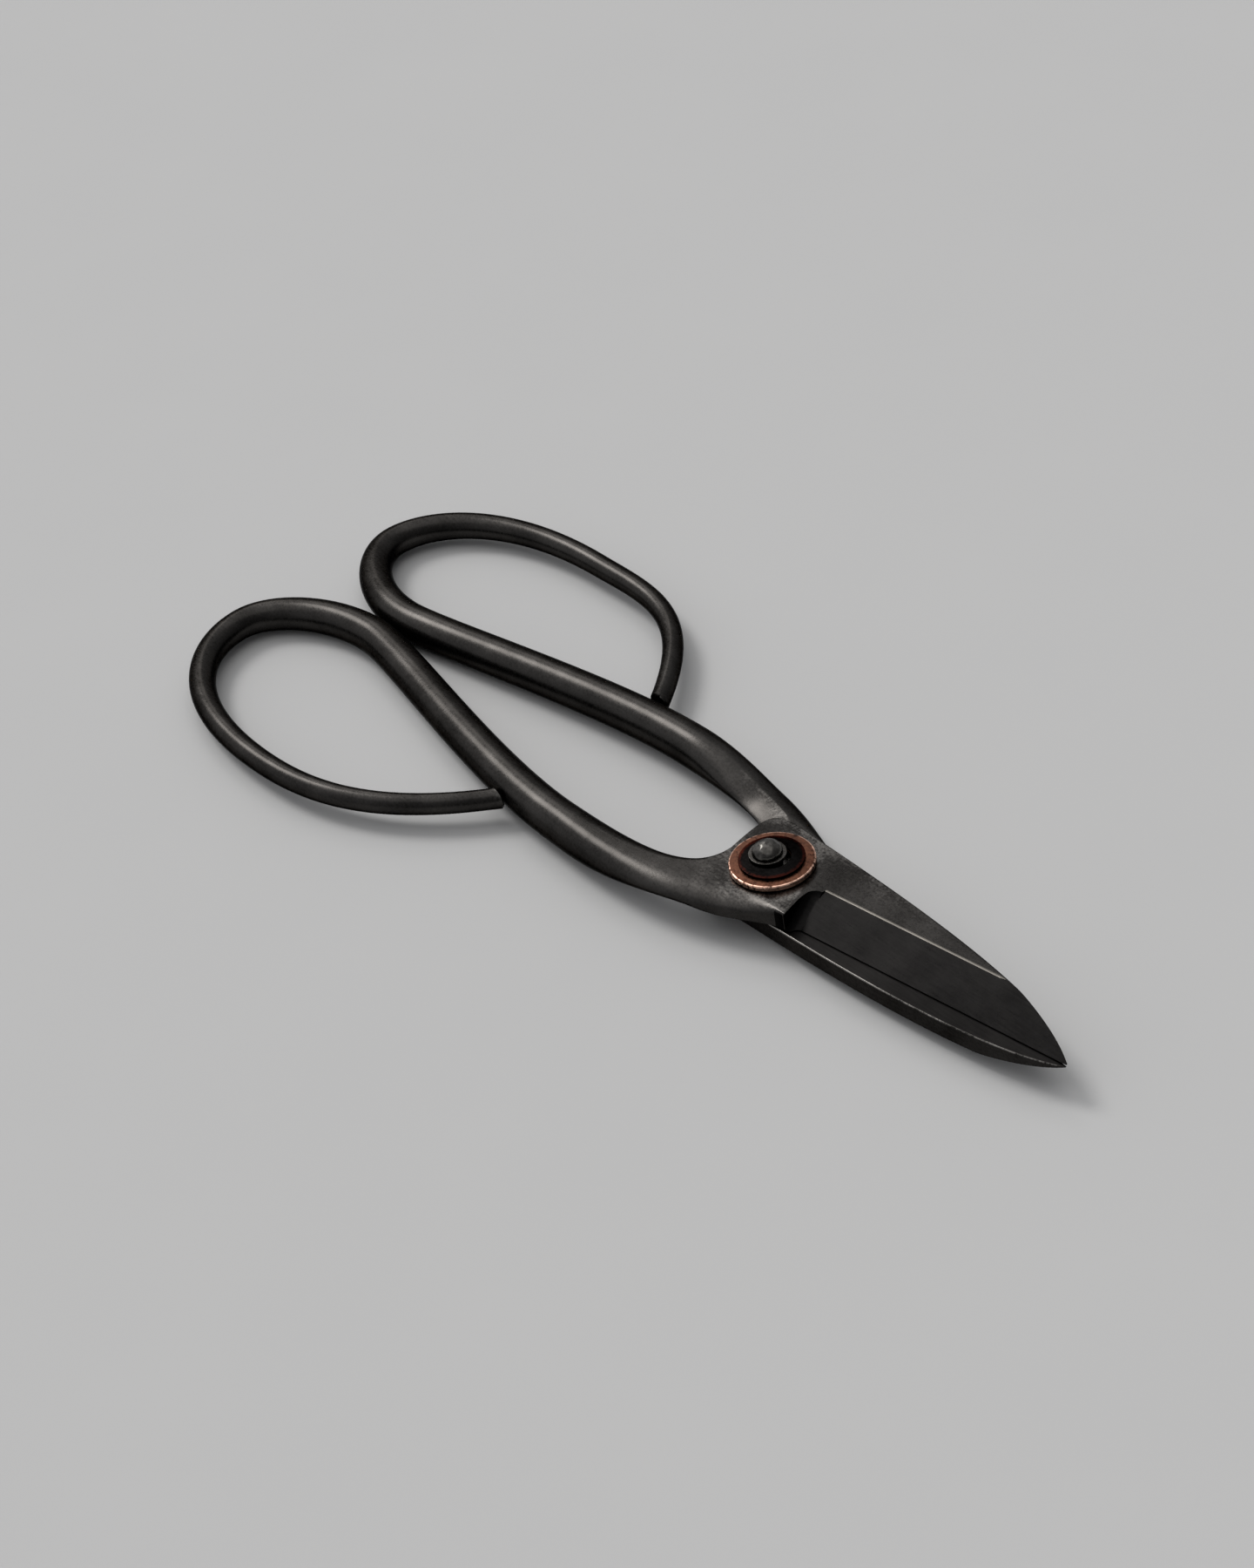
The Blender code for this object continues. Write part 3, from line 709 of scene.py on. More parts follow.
# %% [markdown]
# The rivet hole goes through both halves. It could be left out, because washers hide it, but the snips
# come apart in the mesh as they do on the bench. A cylinder is a fair stand-in for a drill, so one is
# cut out of each half.

# %% Drill the halves
RIVET_SHANK = 4.0 * MM
BORE_GAP = 0.3 * MM
BORE_SIDES = 64

for half in (upper_half, lower_half):
    bpy.ops.object.select_all(action="DESELECT")
    bpy.ops.mesh.primitive_cylinder_add(vertices=BORE_SIDES, radius=RIVET_SHANK / 2 + BORE_GAP,
                                        depth=6 * HALF_THICK, location=(0, 0, SHEAR_HEIGHT))
    subtract(half, bpy.context.object)
    print(half.name, "drilled,", len(half.data.polygons), "faces")

# %% [markdown]
# The ridge of the grind is the brightest line on the blade: handling has worn the corner between the
# flat and the ground face to a tiny polished strip, whose brighter colour is partly painted highlight.
# The faces are told apart by their normals: the flat, the ground face with its run-out, whose very dark
# colour is painted shade, and the sliding face, which gets a darker and rougher steel of its own. The
# edges between flat and ground faces get a narrow bevel with a slot of its own for a brighter finish.

# %% Ridge and ground faces
FORGED_SLOT = 0
GROUND_AND_SHADE_SLOT = 1
WORN_AND_SHEEN_SLOT = 2
SLIDE_SLOT = 3
RIDGE_WIDE = 0.2 * MM
SLIDE_FROM = 5.0 * MM              # the sliding face is ground from here to the tip
SLANT_MATCH = 0.9995               # cosines from which two normals count as the same
FLAT_MATCH = 0.9999
SLIDE_MATCH = 0.999
RUN_OUT_EARLY = 0.3 * MM           # the run-out may start this much before the grind's outline
RUN_OUT_PAST = 1.0 * MM            # and reach this far past the ridge
RUN_OUT_LEAN = 0.08                # least lean of its faces towards the tip


def is_slanting(face, turn):
    """Whether a face leans as the ground face of this half does."""
    normal = grind_plane()[1]
    return face.normal.dot(Vector((normal.x, turn * normal.y, turn * normal.z))) > SLANT_MATCH


def slot_of(face, turn):
    """The slot of a face: ground on the slope and its run-out, sliding underneath, forged elsewhere."""
    middle = face.calc_center_median()
    ahead = middle.x - HOLE_BACK
    past = turn * (middle.y - HOLE_ASIDE)
    on_blade = ahead > GRIND_AHEAD - RUN_OUT_EARLY
    near_start = on_blade and ahead < GRIND_AHEAD + GRIND_CORNER + WHEEL_ROUND + GRIND_FLARE
    run_out = near_start and past < RIDGE_PAST + RUN_OUT_PAST and face.normal.x > RUN_OUT_LEAN
    if on_blade and is_slanting(face, turn) or run_out:
        return GROUND_AND_SHADE_SLOT
    if ahead > SLIDE_FROM and face.normal.z * turn < -SLIDE_MATCH:
        return SLIDE_SLOT
    return FORGED_SLOT


def dress_blade(half, turn):
    """Sort the faces into their slots and bevel the ridge; gives the number of edges bevelled."""
    flat = Vector((0, 0, turn))
    bpy.ops.object.select_all(action="DESELECT")
    half.select_set(True)
    bpy.context.view_layer.objects.active = half
    for name in ("forged", "ground", "worn_and_sheen", "sliding"):
        half.data.materials.append(bpy.data.materials.new(half.name + "_" + name))
    bpy.ops.object.mode_set(mode="EDIT")
    bpy.ops.mesh.select_all(action="SELECT")
    bpy.ops.mesh.remove_doubles(threshold=2 * SAME_SPOT)
    bpy.ops.mesh.select_all(action="DESELECT")
    bpy.ops.mesh.select_mode(type="EDGE")
    mesh = bmesh.from_edit_mesh(half.data)
    for face in mesh.faces:
        face.material_index = slot_of(face, turn)
    for edge in mesh.edges:
        if len(edge.link_faces) == 2:
            on_flat = any(face.normal.dot(flat) > FLAT_MATCH for face in edge.link_faces)
            edge.select = on_flat and any(is_slanting(face, turn) for face in edge.link_faces)
    count = sum(edge.select for edge in mesh.edges)
    bmesh.update_edit_mesh(half.data)
    bpy.ops.mesh.bevel(
        offset=RIDGE_WIDE, segments=2, affect="EDGES", material=WORN_AND_SHEEN_SLOT, clamp_overlap=False)
    bpy.ops.mesh.select_mode(type="VERT")
    bpy.ops.object.mode_set(mode="OBJECT")
    return count


for half, turn in ((upper_half, 1), (lower_half, -1)):
    print(half.name, dress_blade(half, turn), "ridge edges worn")

# %% [markdown]
# Smooth shading by angle keeps the grind and the cut end crisp. Weighted normals then let the broad
# flats decide the shading at their borders, so they look flat instead of pillowed.

# %% Shade the halves
HALF_CREASE = 42                   # degrees between two faces from which their edge stays crisp


def shade(piece, angle, weighted=True):
    """Smooth a piece but for its creases, and let its large faces steer the shading."""
    bpy.ops.object.select_all(action="DESELECT")
    piece.select_set(True)
    bpy.context.view_layer.objects.active = piece
    bpy.ops.object.shade_smooth_by_angle(angle=math.radians(angle))
    if weighted:
        steer = piece.modifiers.new("steer", "WEIGHTED_NORMAL")
        steer.keep_sharp = True
        bpy.ops.object.modifier_apply(modifier=steer.name)


for half in (upper_half, lower_half):
    shade(half, HALF_CREASE)
    print(half.name, "shaded")

# %% [markdown]
# The washers are rings of revolution. They could be spun from a profile, but a spin leaves a seam to
# merge. Each is turned like a pot instead: a circle at the bore is extruded along the washer's profile,
# step by step, by moving and scaling the new ring, and the last ring is bridged to the first.

# %% Turn a washer
ROUND_SIDES = 120
ROUND_STEPS = 8
BORE_EASE = 0.08 * MM              # small slope at the edges of the bore
WASHER_CREASE = 35


def turn_profile(profile, centre):
    """Extrude the selected ring along (radius, height) points."""
    middle = Vector((centre[0], centre[1], 0))
    for (radius, height), (wider, higher) in zip(profile, profile[1:]):
        bpy.ops.mesh.extrude_region_move(TRANSFORM_OT_translate={"value": (0, 0, higher - height)})
        scale = wider / radius
        bpy.ops.transform.resize(value=(scale, scale, 1), center_override=middle)


def rim(outer, height, size, start, finish):
    """Points round a rim's corner, angles in degrees from the outward direction."""
    points = []
    for step in range(ROUND_STEPS + 1):
        angle = math.radians(start + (finish - start) * step / ROUND_STEPS)
        points.append((outer - size + size * math.cos(angle), height + size * math.sin(angle)))
    return points


def turn_washer(name, wide, bore, bottom, thick, rounding, rise=0.0, centre=(0, 0)):
    """A washer with its bottom at this height from the sliding plane."""
    bottom += SHEAR_HEIGHT
    outer = wide / 2
    inner = bore / 2
    ease = min(BORE_EASE, thick / 4)
    profile = [(inner, bottom + rise + ease), (inner, bottom + thick + rise - ease),
               (inner + ease, bottom + thick + rise)]
    profile += rim(outer, bottom + thick - rounding, rounding, 90, 0)
    profile += rim(outer, bottom + rounding, rounding, 0, -90)[1:]
    profile.append((inner + ease, bottom + rise))
    bpy.ops.object.select_all(action="DESELECT")
    bpy.ops.mesh.primitive_circle_add(
        vertices=ROUND_SIDES, radius=inner, fill_type="NOTHING", location=(*centre, profile[0][1]))
    piece = bpy.context.object
    piece.name = name
    bpy.ops.object.transform_apply(location=True, rotation=True, scale=True)
    bpy.ops.object.mode_set(mode="EDIT")
    bpy.ops.mesh.select_all(action="SELECT")
    turn_profile(profile, centre)
    bpy.ops.mesh.select_all(action="DESELECT")
    bpy.ops.mesh.select_mode(type="EDGE")
    bpy.ops.mesh.select_non_manifold()
    bpy.ops.mesh.bridge_edge_loops()
    bpy.ops.mesh.select_all(action="SELECT")
    bpy.ops.mesh.normals_make_consistent(inside=False)
    bpy.ops.mesh.select_mode(type="VERT")
    bpy.ops.object.mode_set(mode="OBJECT")
    shade(piece, WASHER_CREASE, weighted=False)
    return piece


print(ROUND_SIDES, "sides to a washer")

# %% [markdown]
# Four washers come from that one function. The copper washers have a full rounded rim, the upper one
# wide and the lower one thin. The black one is dished, so its middle stands higher than its rim. The
# upper two are a loose fit and have slid a little to one side, as they have on the real snips. Each
# height follows from the piece underneath.

# %% Turn the washers
SEAT_GAP = 0.2 * MM                # between pieces that rest on each other
COPPER_WIDE = 14.1 * MM
COPPER_THICK = 1.0 * MM
UNDER_COPPER_WIDE = 11.0 * MM
COPPER_ROUND = 0.28 * MM
UNDER_COPPER_THICK = 0.4 * MM
UNDER_COPPER_ROUND = 0.13 * MM
DISH_WIDE = 10.8 * MM
DISH_THICK = 0.3 * MM
DISH_RISE = 0.12 * MM
COLLAR_WIDE = 6.2 * MM
COLLAR_THICK = 0.3 * MM
WASHER_SHIFT = 0.8 * MM
SHIFT_HEADING = 10                 # degrees from +X

slid = tuple(direction(SHIFT_HEADING, 0) * WASHER_SHIFT)[:2]
loose_bore = RIVET_SHANK + 2 * (BORE_GAP + WASHER_SHIFT)
snug_bore = RIVET_SHANK + 2 * BORE_GAP
copper_z = TOP_Z + SEAT_GAP
dish_z = copper_z + COPPER_THICK + SEAT_GAP
collar_z = dish_z + DISH_THICK + DISH_RISE + SEAT_GAP
head_z = collar_z + COLLAR_THICK + SEAT_GAP
under_z = -TOP_Z - SEAT_GAP - UNDER_COPPER_THICK
upper_copper = turn_washer("copper_ring", COPPER_WIDE, loose_bore, copper_z, COPPER_THICK, COPPER_ROUND,
                           centre=slid)
dish = turn_washer("black_dish", DISH_WIDE, loose_bore, dish_z, DISH_THICK, DISH_THICK / 3,
                   rise=DISH_RISE, centre=slid)
collar = turn_washer("collar_ring", COLLAR_WIDE, snug_bore, collar_z, COLLAR_THICK, COLLAR_THICK / 3)
lower_copper = turn_washer("under_copper_ring", UNDER_COPPER_WIDE, snug_bore, under_z, UNDER_COPPER_THICK,
                           UNDER_COPPER_ROUND)
for washer in (upper_copper, dish, collar, lower_copper):
    print(washer.name, len(washer.data.polygons), "faces")

# %% [markdown]
# The rivet is one turned piece: a peened tail with a flat foot, a plain shank and a domed head. It is
# made as the washers are, from a filled circle at its foot, with the dome's profile from a quarter of an
# oval.

# %% Turn the rivet
HEAD_WIDE = 5.0 * MM
HEAD_TALL = 1.75 * MM
TAIL_WIDE = 6.0 * MM
TAIL_TALL = 0.6 * MM
TAIL_FOOT = 4.4 * MM
FOOT_EASE = 0.45 * MM              # first slope of the tail, out from its foot
FOOT_SLOPE_UP = 0.15               # shares of the tail's height at which its slopes end
TAIL_SLOPE_UP = 0.55
RIVET_SIDES = 96
DOME_STEPS = 16
CROWN = 0.12 * MM                  # radius of the small flat that closes the dome

head_height = SHEAR_HEIGHT + head_z
profile = [(TAIL_FOOT / 2, 0),
           (TAIL_FOOT / 2 + FOOT_EASE, TAIL_TALL * FOOT_SLOPE_UP),
           (TAIL_WIDE / 2, TAIL_TALL * TAIL_SLOPE_UP),
           (TAIL_WIDE / 2, TAIL_TALL),
           (RIVET_SHANK / 2, TAIL_TALL),
           (RIVET_SHANK / 2, head_height)]
for step in range(DOME_STEPS + 1):
    angle = math.pi / 2 * step / DOME_STEPS
    profile.append((max(CROWN, HEAD_WIDE / 2 * math.cos(angle)), head_height + HEAD_TALL * math.sin(angle)))

bpy.ops.object.select_all(action="DESELECT")
bpy.ops.mesh.primitive_circle_add(vertices=RIVET_SIDES, radius=TAIL_FOOT / 2, fill_type="NGON")
rivet = bpy.context.object
rivet.name = "rivet_body"
bpy.ops.object.mode_set(mode="EDIT")
bpy.ops.mesh.select_all(action="SELECT")
turn_profile(profile, (0, 0))
bpy.ops.mesh.select_all(action="SELECT")
bpy.ops.mesh.normals_make_consistent(inside=False)
print(rivet.name, "turned from", len(profile), "rings")

# %% [markdown]
# The dome was closed with a hammer, which left flats. Bisecting would cut them with hard borders, as a
# file does. A hammer presses instead: all points that stand above a tilted plane are moved down onto it,
# and two rounds of smoothing roll the borders over.

# %% Hammer the rivet's head
# Each blow: heading round the head and lean from upright, in degrees, and its depth in millimetres
BLOWS = [(30, 10, 0.07), (170, 27, 0.10), (250, 33, 0.12), (325, 38, 0.11), (75, 42, 0.12), (120, 60, 0.08),
         (205, 62, 0.08), (290, 64, 0.07)]
DOME_FOOT = 0.05 * MM              # the dome's lowest rim, which stays as turned
RIVET_CREASE = 40

dome_middle = Vector((0, 0, head_height))
for heading, lean, bite in BLOWS:
    away = direction(heading, 90 - lean)
    lean = math.radians(lean)
    reach = math.hypot(HEAD_WIDE / 2 * math.sin(lean), HEAD_TALL * math.cos(lean)) - bite * MM
    mesh = bmesh.from_edit_mesh(rivet.data)
    for vertex in mesh.verts:
        above = (vertex.co - dome_middle).dot(away) - reach
        if above > 0 and vertex.co.z > head_height:
            vertex.co -= away * above
    bmesh.update_edit_mesh(rivet.data)
bpy.ops.mesh.select_all(action="DESELECT")
mesh = bmesh.from_edit_mesh(rivet.data)
for vertex in mesh.verts:
    vertex.select = vertex.co.z > head_height + DOME_FOOT
mesh.select_flush_mode()
bmesh.update_edit_mesh(rivet.data)
bpy.ops.mesh.vertices_smooth(factor=0.5, repeat=2)
bpy.ops.object.mode_set(mode="OBJECT")
shade(rivet, RIVET_CREASE)
print(rivet.name, len(rivet.data.polygons), "faces,", len(BLOWS), "hammered flats")

# %% [markdown]
# Metal grain, clouds of colour and brush marks are wanted on every finish, at different strengths, so
# they are one node group. It reads the piece's own coordinates in metres. Fine grain is under half a
# millimetre across, clouds are about a centimetre, and brush marks run along the snips.

# %% Grain group
GRAIN_SCALE = 2300.0               # noise scales, per metre
CLOUD_SCALE = 110.0
BRUSH_STRETCH = 0.05               # scale along a brush mark, as a share of the scale across it

tree, entry, leave = start_group(
    "metal_grain",
    [("Place", "NodeSocketVector", None), ("Fineness", "NodeSocketFloat", 1.0)],
    [("Speckle", "NodeSocketFloat"), ("Brush", "NodeSocketFloat"), ("Cloud", "NodeSocketFloat")])
place = entry.outputs["Place"]
fine_scale = add_node(tree, "ShaderNodeMath", {0: entry.outputs["Fineness"], 1: GRAIN_SCALE},
                      operation="MULTIPLY").outputs[0]
speckle = add_node(tree, "ShaderNodeTexNoise",
                   {"Vector": place, "Scale": fine_scale, "Detail": 3.0, "Roughness": 0.6})
stretched = add_node(tree, "ShaderNodeMapping", {"Vector": place, "Scale": (BRUSH_STRETCH, 1.0, 1.0)})
brush = add_node(tree, "ShaderNodeTexNoise",
                 {"Vector": stretched.outputs[0], "Scale": fine_scale, "Detail": 2.0})
cloud = add_node(tree, "ShaderNodeTexNoise",
                 {"Vector": place, "Scale": CLOUD_SCALE, "Detail": 4.0, "Roughness": 0.6})
for name, source in (("Speckle", speckle), ("Brush", brush), ("Cloud", cloud)):
    tree.links.new(source.outputs["Fac"], leave.inputs[name])
grain_group = tree
print("group", tree.name)

# %% [markdown]
# A second group turns grain into a finish: it mixes two colours by clouds and speckle, spreads the
# roughness, and gives a height for the bump. Its wear share holds real wear and also painted sheen,
# highlight and reflection; where it is high, the bare colour shows through in flecks: the share is set
# against the grain, so that the rubbed and painted places end raggedly.

# %% Finish group
TEXTURE_SHARE = 0.45               # share of the texture in the colour, against the clouds
COLOUR_SPAN = (0.36, 0.64)         # noise values that are spread over the two colours
ROUGH_SPAN = (0.3, 0.7)            # and over the two roughnesses
BARE_AND_SHEEN_SPAN = (0.1, 0.6)             # wear and painted sheen set against the grain show the bare colour between these

tree, entry, leave = start_group(
    "metal_finish",
    [("Place", "NodeSocketVector", None), ("Fineness", "NodeSocketFloat", 1.0),
     ("Dark", "NodeSocketColor", (0.02, 0.02, 0.02, 1)), ("Light", "NodeSocketColor", (0.1, 0.1, 0.1, 1)),
     ("Smooth", "NodeSocketFloat", 0.3), ("Rough", "NodeSocketFloat", 0.5),
     ("Brushed", "NodeSocketFloat", 0.5), ("Wear and sheen", "NodeSocketFloat", 0.0),
     ("Bare and sheen", "NodeSocketColor", (0.5, 0.5, 0.5, 1))],
    [("Colour", "NodeSocketColor"), ("Roughness", "NodeSocketFloat"), ("Height", "NodeSocketFloat")])
grain = add_node(tree, "ShaderNodeGroup", node_tree=grain_group)
tree.links.new(entry.outputs["Place"], grain.inputs["Place"])
tree.links.new(entry.outputs["Fineness"], grain.inputs["Fineness"])
texture = add_node(tree, "ShaderNodeMix",
                   {"Factor": entry.outputs["Brushed"], "A": grain.outputs["Speckle"],
                    "B": grain.outputs["Brush"]})
both = add_node(tree, "ShaderNodeMix",
                {"Factor": TEXTURE_SHARE, "A": grain.outputs["Cloud"], "B": texture.outputs["Result"]})
spread = add_node(tree, "ShaderNodeMapRange",
                  {"Value": both.outputs["Result"], "From Min": COLOUR_SPAN[0], "From Max": COLOUR_SPAN[1]})
colour = add_node(tree, "ShaderNodeMix", {"Factor": spread.outputs["Result"]}, data_type="RGBA")
tree.links.new(entry.outputs["Dark"], colour.inputs["A"])
tree.links.new(entry.outputs["Light"], colour.inputs["B"])
ragged = add_node(tree, "ShaderNodeMath", {0: entry.outputs["Wear and sheen"], 1: spread.outputs["Result"]},
                  operation="MULTIPLY")
bared_and_sheen = add_node(tree, "ShaderNodeMapRange",
                 {"Value": ragged.outputs[0], "From Min": BARE_AND_SHEEN_SPAN[0], "From Max": BARE_AND_SHEEN_SPAN[1]},
                 interpolation_type="SMOOTHSTEP")
rubbed_and_sheen = add_node(tree, "ShaderNodeMix", {"Factor": bared_and_sheen.outputs["Result"]}, data_type="RGBA")
tree.links.new(colour.outputs["Result"], rubbed_and_sheen.inputs["A"])
tree.links.new(entry.outputs["Bare and sheen"], rubbed_and_sheen.inputs["B"])
rough = add_node(tree, "ShaderNodeMapRange",
                 {"Value": texture.outputs["Result"], "From Min": ROUGH_SPAN[0], "From Max": ROUGH_SPAN[1],
                  "To Min": entry.outputs["Smooth"], "To Max": entry.outputs["Rough"]})
tree.links.new(rubbed_and_sheen.outputs["Result"], leave.inputs["Colour"])
tree.links.new(rough.outputs["Result"], leave.inputs["Roughness"])
tree.links.new(texture.outputs["Result"], leave.inputs["Height"])
finish_group = tree
print("group", tree.name)

# %% [markdown]
# A metal material only sets its own colours and strengths on that group. Dark and light are its two
# colours, smooth and rough its two roughnesses, and brushed says how far its grain is drawn out into
# brush marks. A polished metal turns into a mirror at a grazing angle, but scale and grease don't, so
# the shader's edge tint is turned down.

# %% Metal
EDGE_TINT = 0.35
BUMP_DEEP = 0.05 * MM              # depth of the grain at full bump


def metal(name, dark, light, smooth, rough, brushed, bump, fineness=1.0, edge_tint=EDGE_TINT):
    """A metal whose looks come from the finish group, and the group's node for wear and sheen."""
    material, tree, shader, place = start_material(name)
    finish = add_node(tree, "ShaderNodeGroup", node_tree=finish_group)
    tree.links.new(place, finish.inputs["Place"])
    finish.inputs["Fineness"].default_value = fineness
    finish.inputs["Dark"].default_value = (*dark, 1)
    finish.inputs["Light"].default_value = (*light, 1)
    finish.inputs["Smooth"].default_value = smooth
    finish.inputs["Rough"].default_value = rough
    finish.inputs["Brushed"].default_value = brushed
    dents = add_node(tree, "ShaderNodeBump",
                     {"Height": finish.outputs["Height"], "Strength": bump, "Distance": BUMP_DEEP})
    tree.links.new(finish.outputs["Colour"], shader.inputs["Base Color"])
    tree.links.new(finish.outputs["Roughness"], shader.inputs["Roughness"])
    tree.links.new(dents.outputs["Normal"], shader.inputs["Normal"])
    shader.inputs["Metallic"].default_value = 1.0
    shader.inputs["Specular Tint"].default_value = (edge_tint, edge_tint, edge_tint, 1)
    return material, finish


print("edge tint", EDGE_TINT)

# %% [markdown]
# The forgings are blackened by their scale: a thin dark oxide with a warm satin sheen, more like a glaze
# than like bare metal. So their colour is very dark and a little brown, and the sharp corners show some
# bare steel by the wear that was noted on their points. The same bare colour on the boss and the crotch
# slope is partly rubbed steel and partly painted sheen. The ground faces are the same steel after the
# wheel, finer and brushed along the edge, and their very dark colour is painted shade. The worn ridge
# shows bare grey metal, partly as painted highlight.

# %% Steel finishes
BARE_AND_SHEEN_STEEL = (0.17, 0.161, 0.151)
WELL_WORN = 0.3                    # share of wear that is counted below

forged, finish = metal("forged_steel", dark=(0.020, 0.0188, 0.0178), light=(0.046, 0.0433, 0.041),
                       smooth=0.22, rough=0.36, brushed=0.3, bump=0.3)
tree = forged.node_tree
# The wear attribute holds the corner wear and the polish, which is rubbed steel and painted sheen.
rubbing_and_sheen = add_node(tree, "ShaderNodeAttribute", attribute_name="wear")
tree.links.new(rubbing_and_sheen.outputs["Fac"], finish.inputs["Wear and sheen"])
finish.inputs["Bare and sheen"].default_value = (*BARE_AND_SHEEN_STEEL, 1)
# The ground face's very dark colour is painted shade: it keeps the face from mirroring the lamps.
ground = metal("ground_steel", dark=(0.004, 0.0038, 0.0038), light=(0.009, 0.0086, 0.0084),
               smooth=0.26, rough=0.36, brushed=0.5, bump=0.06, fineness=1.6)[0]
# The sliding face gets a darker and rougher copy of the steel.
sliding = metal("sliding_steel", dark=(0.012, 0.0113, 0.011), light=(0.022, 0.0208, 0.020),
                smooth=0.32, rough=0.44, brushed=0.7, bump=0.06, fineness=1.6)[0]
# The ridge's brighter steel is partly worn metal and partly painted highlight.
worn_and_sheen = metal("worn_and_sheen_steel", dark=(0.05, 0.0465, 0.042), light=(0.10, 0.093, 0.084),
             smooth=0.28, rough=0.40, brushed=0.6, bump=0.05)[0]
for half in (upper_half, lower_half):
    half.data.materials[FORGED_SLOT] = forged
    half.data.materials[GROUND_AND_SHADE_SLOT] = ground
    half.data.materials[WORN_AND_SHEEN_SLOT] = worn_and_sheen
    half.data.materials[SLIDE_SLOT] = sliding
    shares = [item.value for item in half.data.attributes["wear"].data]
    count = sum(share > WELL_WORN for share in shares)
    print(half.name, "wear up to", round(max(shares), 2), "and well worn on", count, "points")

# %% [markdown]
# Washers get a brighter colour round their rims: partly rubbed metal and partly painted highlight,
# and on the black washer a painted reflection of the copper. A small group finds the rim: the distance
# of a point from the washer's axis, spread between an inner and an outer radius. A Mapping node in the
# material brings the washer's axis to the origin.

# %% Rim group
tree, entry, leave = start_group(
    "rim_share",
    [("Place", "NodeSocketVector", None), ("Inner", "NodeSocketFloat", 0.0),
     ("Outer", "NodeSocketFloat", 0.01)],
    [("Share", "NodeSocketFloat")])
flatten = add_node(tree, "ShaderNodeVectorMath", {0: entry.outputs["Place"], 1: (1, 1, 0)},
                   operation="MULTIPLY")
distance = add_node(tree, "ShaderNodeVectorMath", {0: flatten.outputs["Vector"]}, operation="LENGTH")
share = add_node(tree, "ShaderNodeMapRange",
                 {"Value": distance.outputs["Value"], "From Min": entry.outputs["Inner"],
                  "From Max": entry.outputs["Outer"]}, interpolation_type="SMOOTHSTEP")
tree.links.new(share.outputs["Result"], leave.inputs["Share"])
rim_group = tree


def rim_wear_and_sheen(material, finish, rim_colour, wide, starts, full=0.0, centre=(0, 0)):
    """Show a rim colour, wear and painted light, between these two distances in from a washer's rim."""
    tree = material.node_tree
    place = next(node for node in tree.nodes if node.type == "TEX_COORD").outputs["Object"]
    centred = add_node(tree, "ShaderNodeMapping", {"Vector": place, "Location": (-centre[0], -centre[1], 0)})
    rim_share = add_node(tree, "ShaderNodeGroup", node_tree=rim_group)
    tree.links.new(centred.outputs["Vector"], rim_share.inputs["Place"])
    rim_share.inputs["Inner"].default_value = wide / 2 - starts
    rim_share.inputs["Outer"].default_value = wide / 2 - full
    tree.links.new(rim_share.outputs["Share"], finish.inputs["Wear and sheen"])
    finish.inputs["Bare and sheen"].default_value = (*rim_colour, 1)


print("group", tree.name)

# %% [markdown]
# The copper washers are browned on the flat, where polish never reaches, and bright and pinkish round
# the rim: partly rubbed copper, partly painted highlight. The dished washer is black and glossy, with a
# painted reflection of the copper, reddish, round its rim. The collar and the rivet are dark steel, and
# the collar's rim is brighter: partly rubbed steel, partly painted highlight.

# %% Copper, black washer and rivet finishes
BARE_AND_LIT_COPPER = (0.92, 0.58, 0.44)
PAINTED_COPPER_REFLECTION = (0.030, 0.008, 0.006)
BARE_AND_LIT_COLLAR = (0.13, 0.125, 0.115)
BROWNED = dict(dark=(0.028, 0.011, 0.007), light=(0.15, 0.062, 0.036), smooth=0.22, rough=0.42, brushed=0.0,
               bump=0.9, fineness=0.6, edge_tint=0.8)

copper, finish = metal("browned_copper", **BROWNED)
# The bright pinkish rim is partly rubbed copper and partly painted highlight.
rim_wear_and_sheen(copper, finish, BARE_AND_LIT_COPPER, COPPER_WIDE, starts=0.42 * MM, full=0.12 * MM, centre=slid)
under, finish = metal("browned_under_copper", **BROWNED)
rim_wear_and_sheen(under, finish, BARE_AND_LIT_COPPER, UNDER_COPPER_WIDE, starts=0.65 * MM, full=0.1 * MM)
blackened, finish = metal("blackened_washer", dark=(0.003, 0.0028, 0.0028), light=(0.010, 0.0092, 0.009),
                          smooth=0.14, rough=0.24, brushed=0.3, bump=0.1)
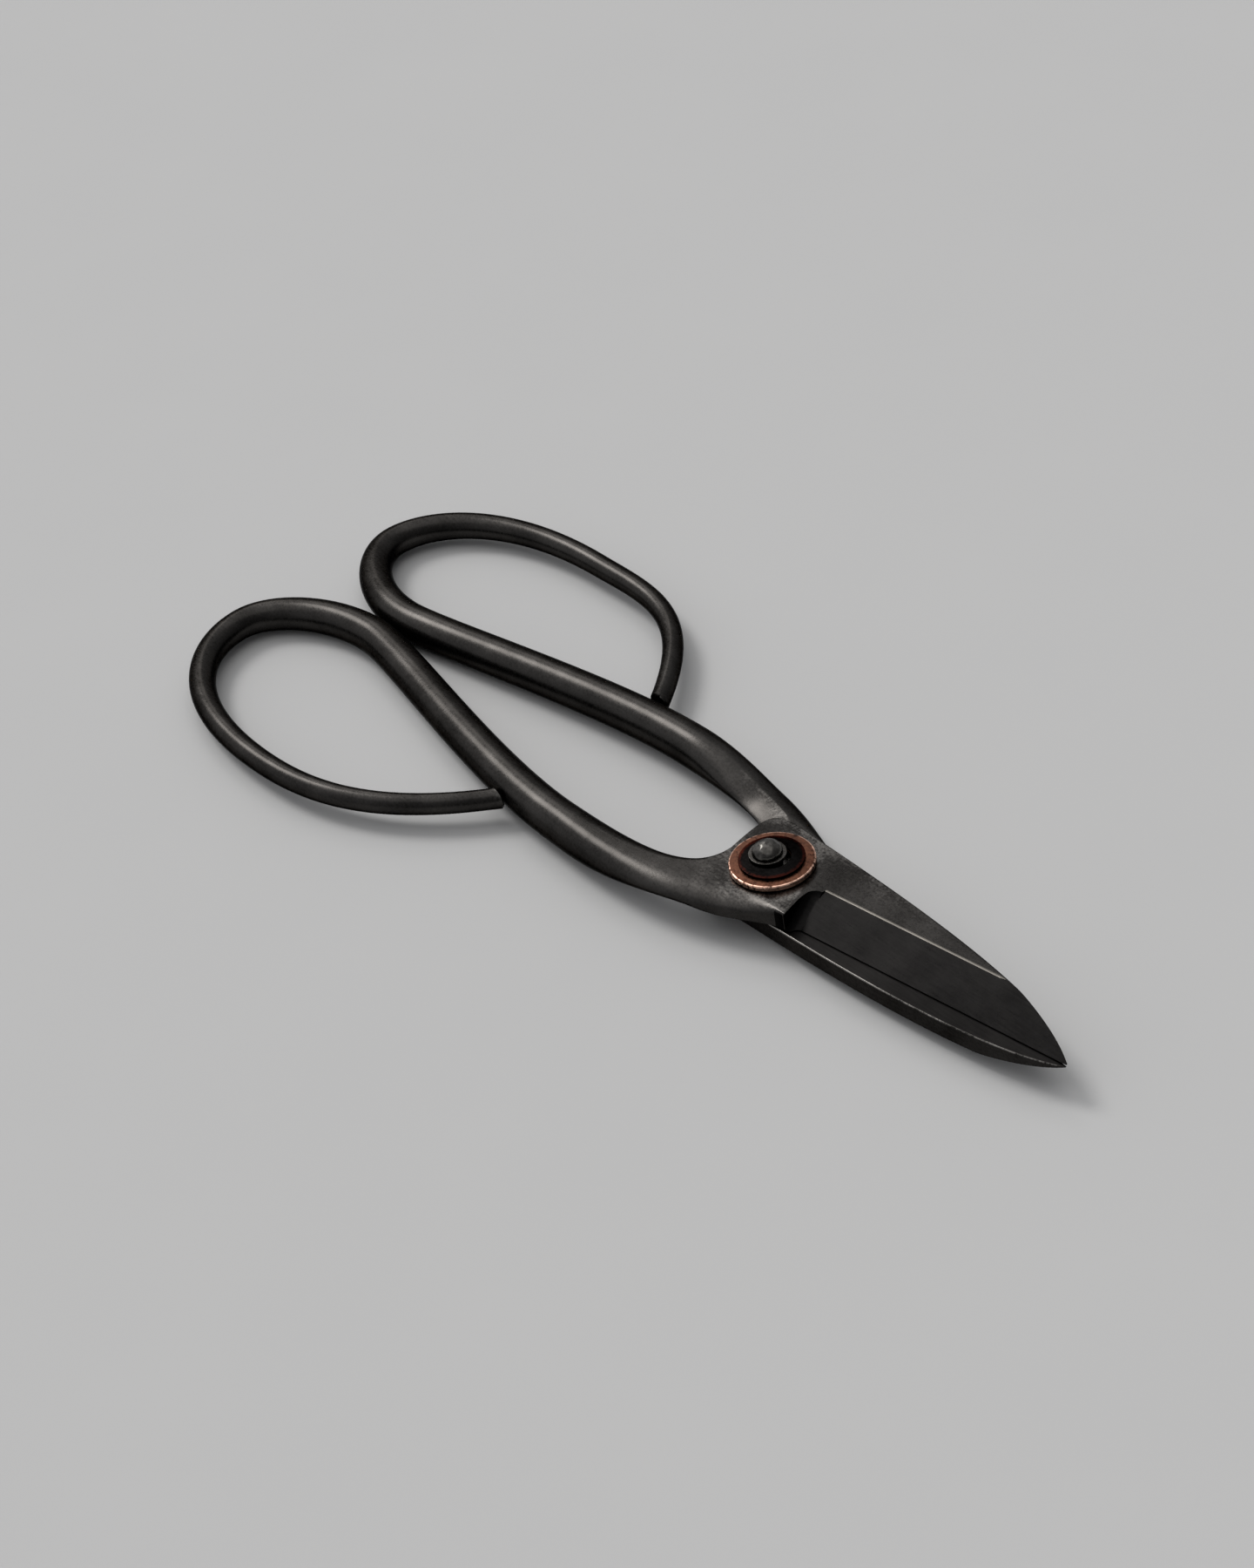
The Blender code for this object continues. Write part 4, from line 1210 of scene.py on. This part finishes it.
# The reddish rim of the black washer is a painted reflection of the copper ring.
rim_wear_and_sheen(blackened, finish, PAINTED_COPPER_REFLECTION, DISH_WIDE, starts=1.0 * MM, full=0.1 * MM, centre=slid)
darkened, finish = metal("dark_collar", dark=(0.030, 0.028, 0.026), light=(0.075, 0.070, 0.065),
                         smooth=0.20, rough=0.34, brushed=0.0, bump=0.2)
# The collar's bright rim is partly rubbed steel and partly painted highlight.
rim_wear_and_sheen(darkened, finish, BARE_AND_LIT_COLLAR, COLLAR_WIDE, starts=0.16 * MM)
hammered = metal("hammered_rivet", dark=(0.04, 0.038, 0.0355), light=(0.15, 0.1425, 0.131),
                 smooth=0.16, rough=0.28, brushed=0.0, bump=0.3, fineness=0.6, edge_tint=0.7)[0]
for piece, finish in ((upper_copper, copper), (lower_copper, under), (dish, blackened), (collar, darkened),
                      (rivet, hammered)):
    piece.data.materials.append(finish)
    print(piece.name, "wears", finish.name)

# %% [markdown]
# Every piece now takes the place of its solid, rides on that solid's body and names its finish slot. The
# upper half turns with the washers above it, and the rivet stays with the lower half.

# %% Put the pieces in place of the solids
STANDS_FOR = [
    (upper_half, "upper_half", "upper", "upper_steel"),
    (lower_half, "lower_half", "lower", "lower_steel"),
    (upper_copper, "upper_copper_washer", "upper", "upper_copper"),
    (dish, "dished_washer", "upper", "black_washer"),
    (collar, "head_collar", "upper", "collar_steel"),
    (lower_copper, "lower_copper_washer", "lower", "lower_copper"),
    (rivet, "pivot_rivet", "lower", "rivet_steel"),
]
for piece, node, body, slot in STANDS_FOR:
    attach(piece, body)
    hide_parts(node)
print(len(STANDS_FOR), "pieces stand for", len(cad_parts), "solids")

# %% [markdown]
# A dressed piece must not change the size of the snips. The box round the solids was kept when they came
# in, so it can now be set against the box round the dressed pieces, and both are printed.

# %% Print the sizes of both boxes
dressed_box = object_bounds()
sizes = {"solids": [list(corner) for corner in solid_box],
         "dressed": [list(corner) for corner in dressed_box]}
for name, (low, high) in sizes.items():
    print(name, [round((b - a) / MM, 2) for a, b in zip(low, high)], "mm")
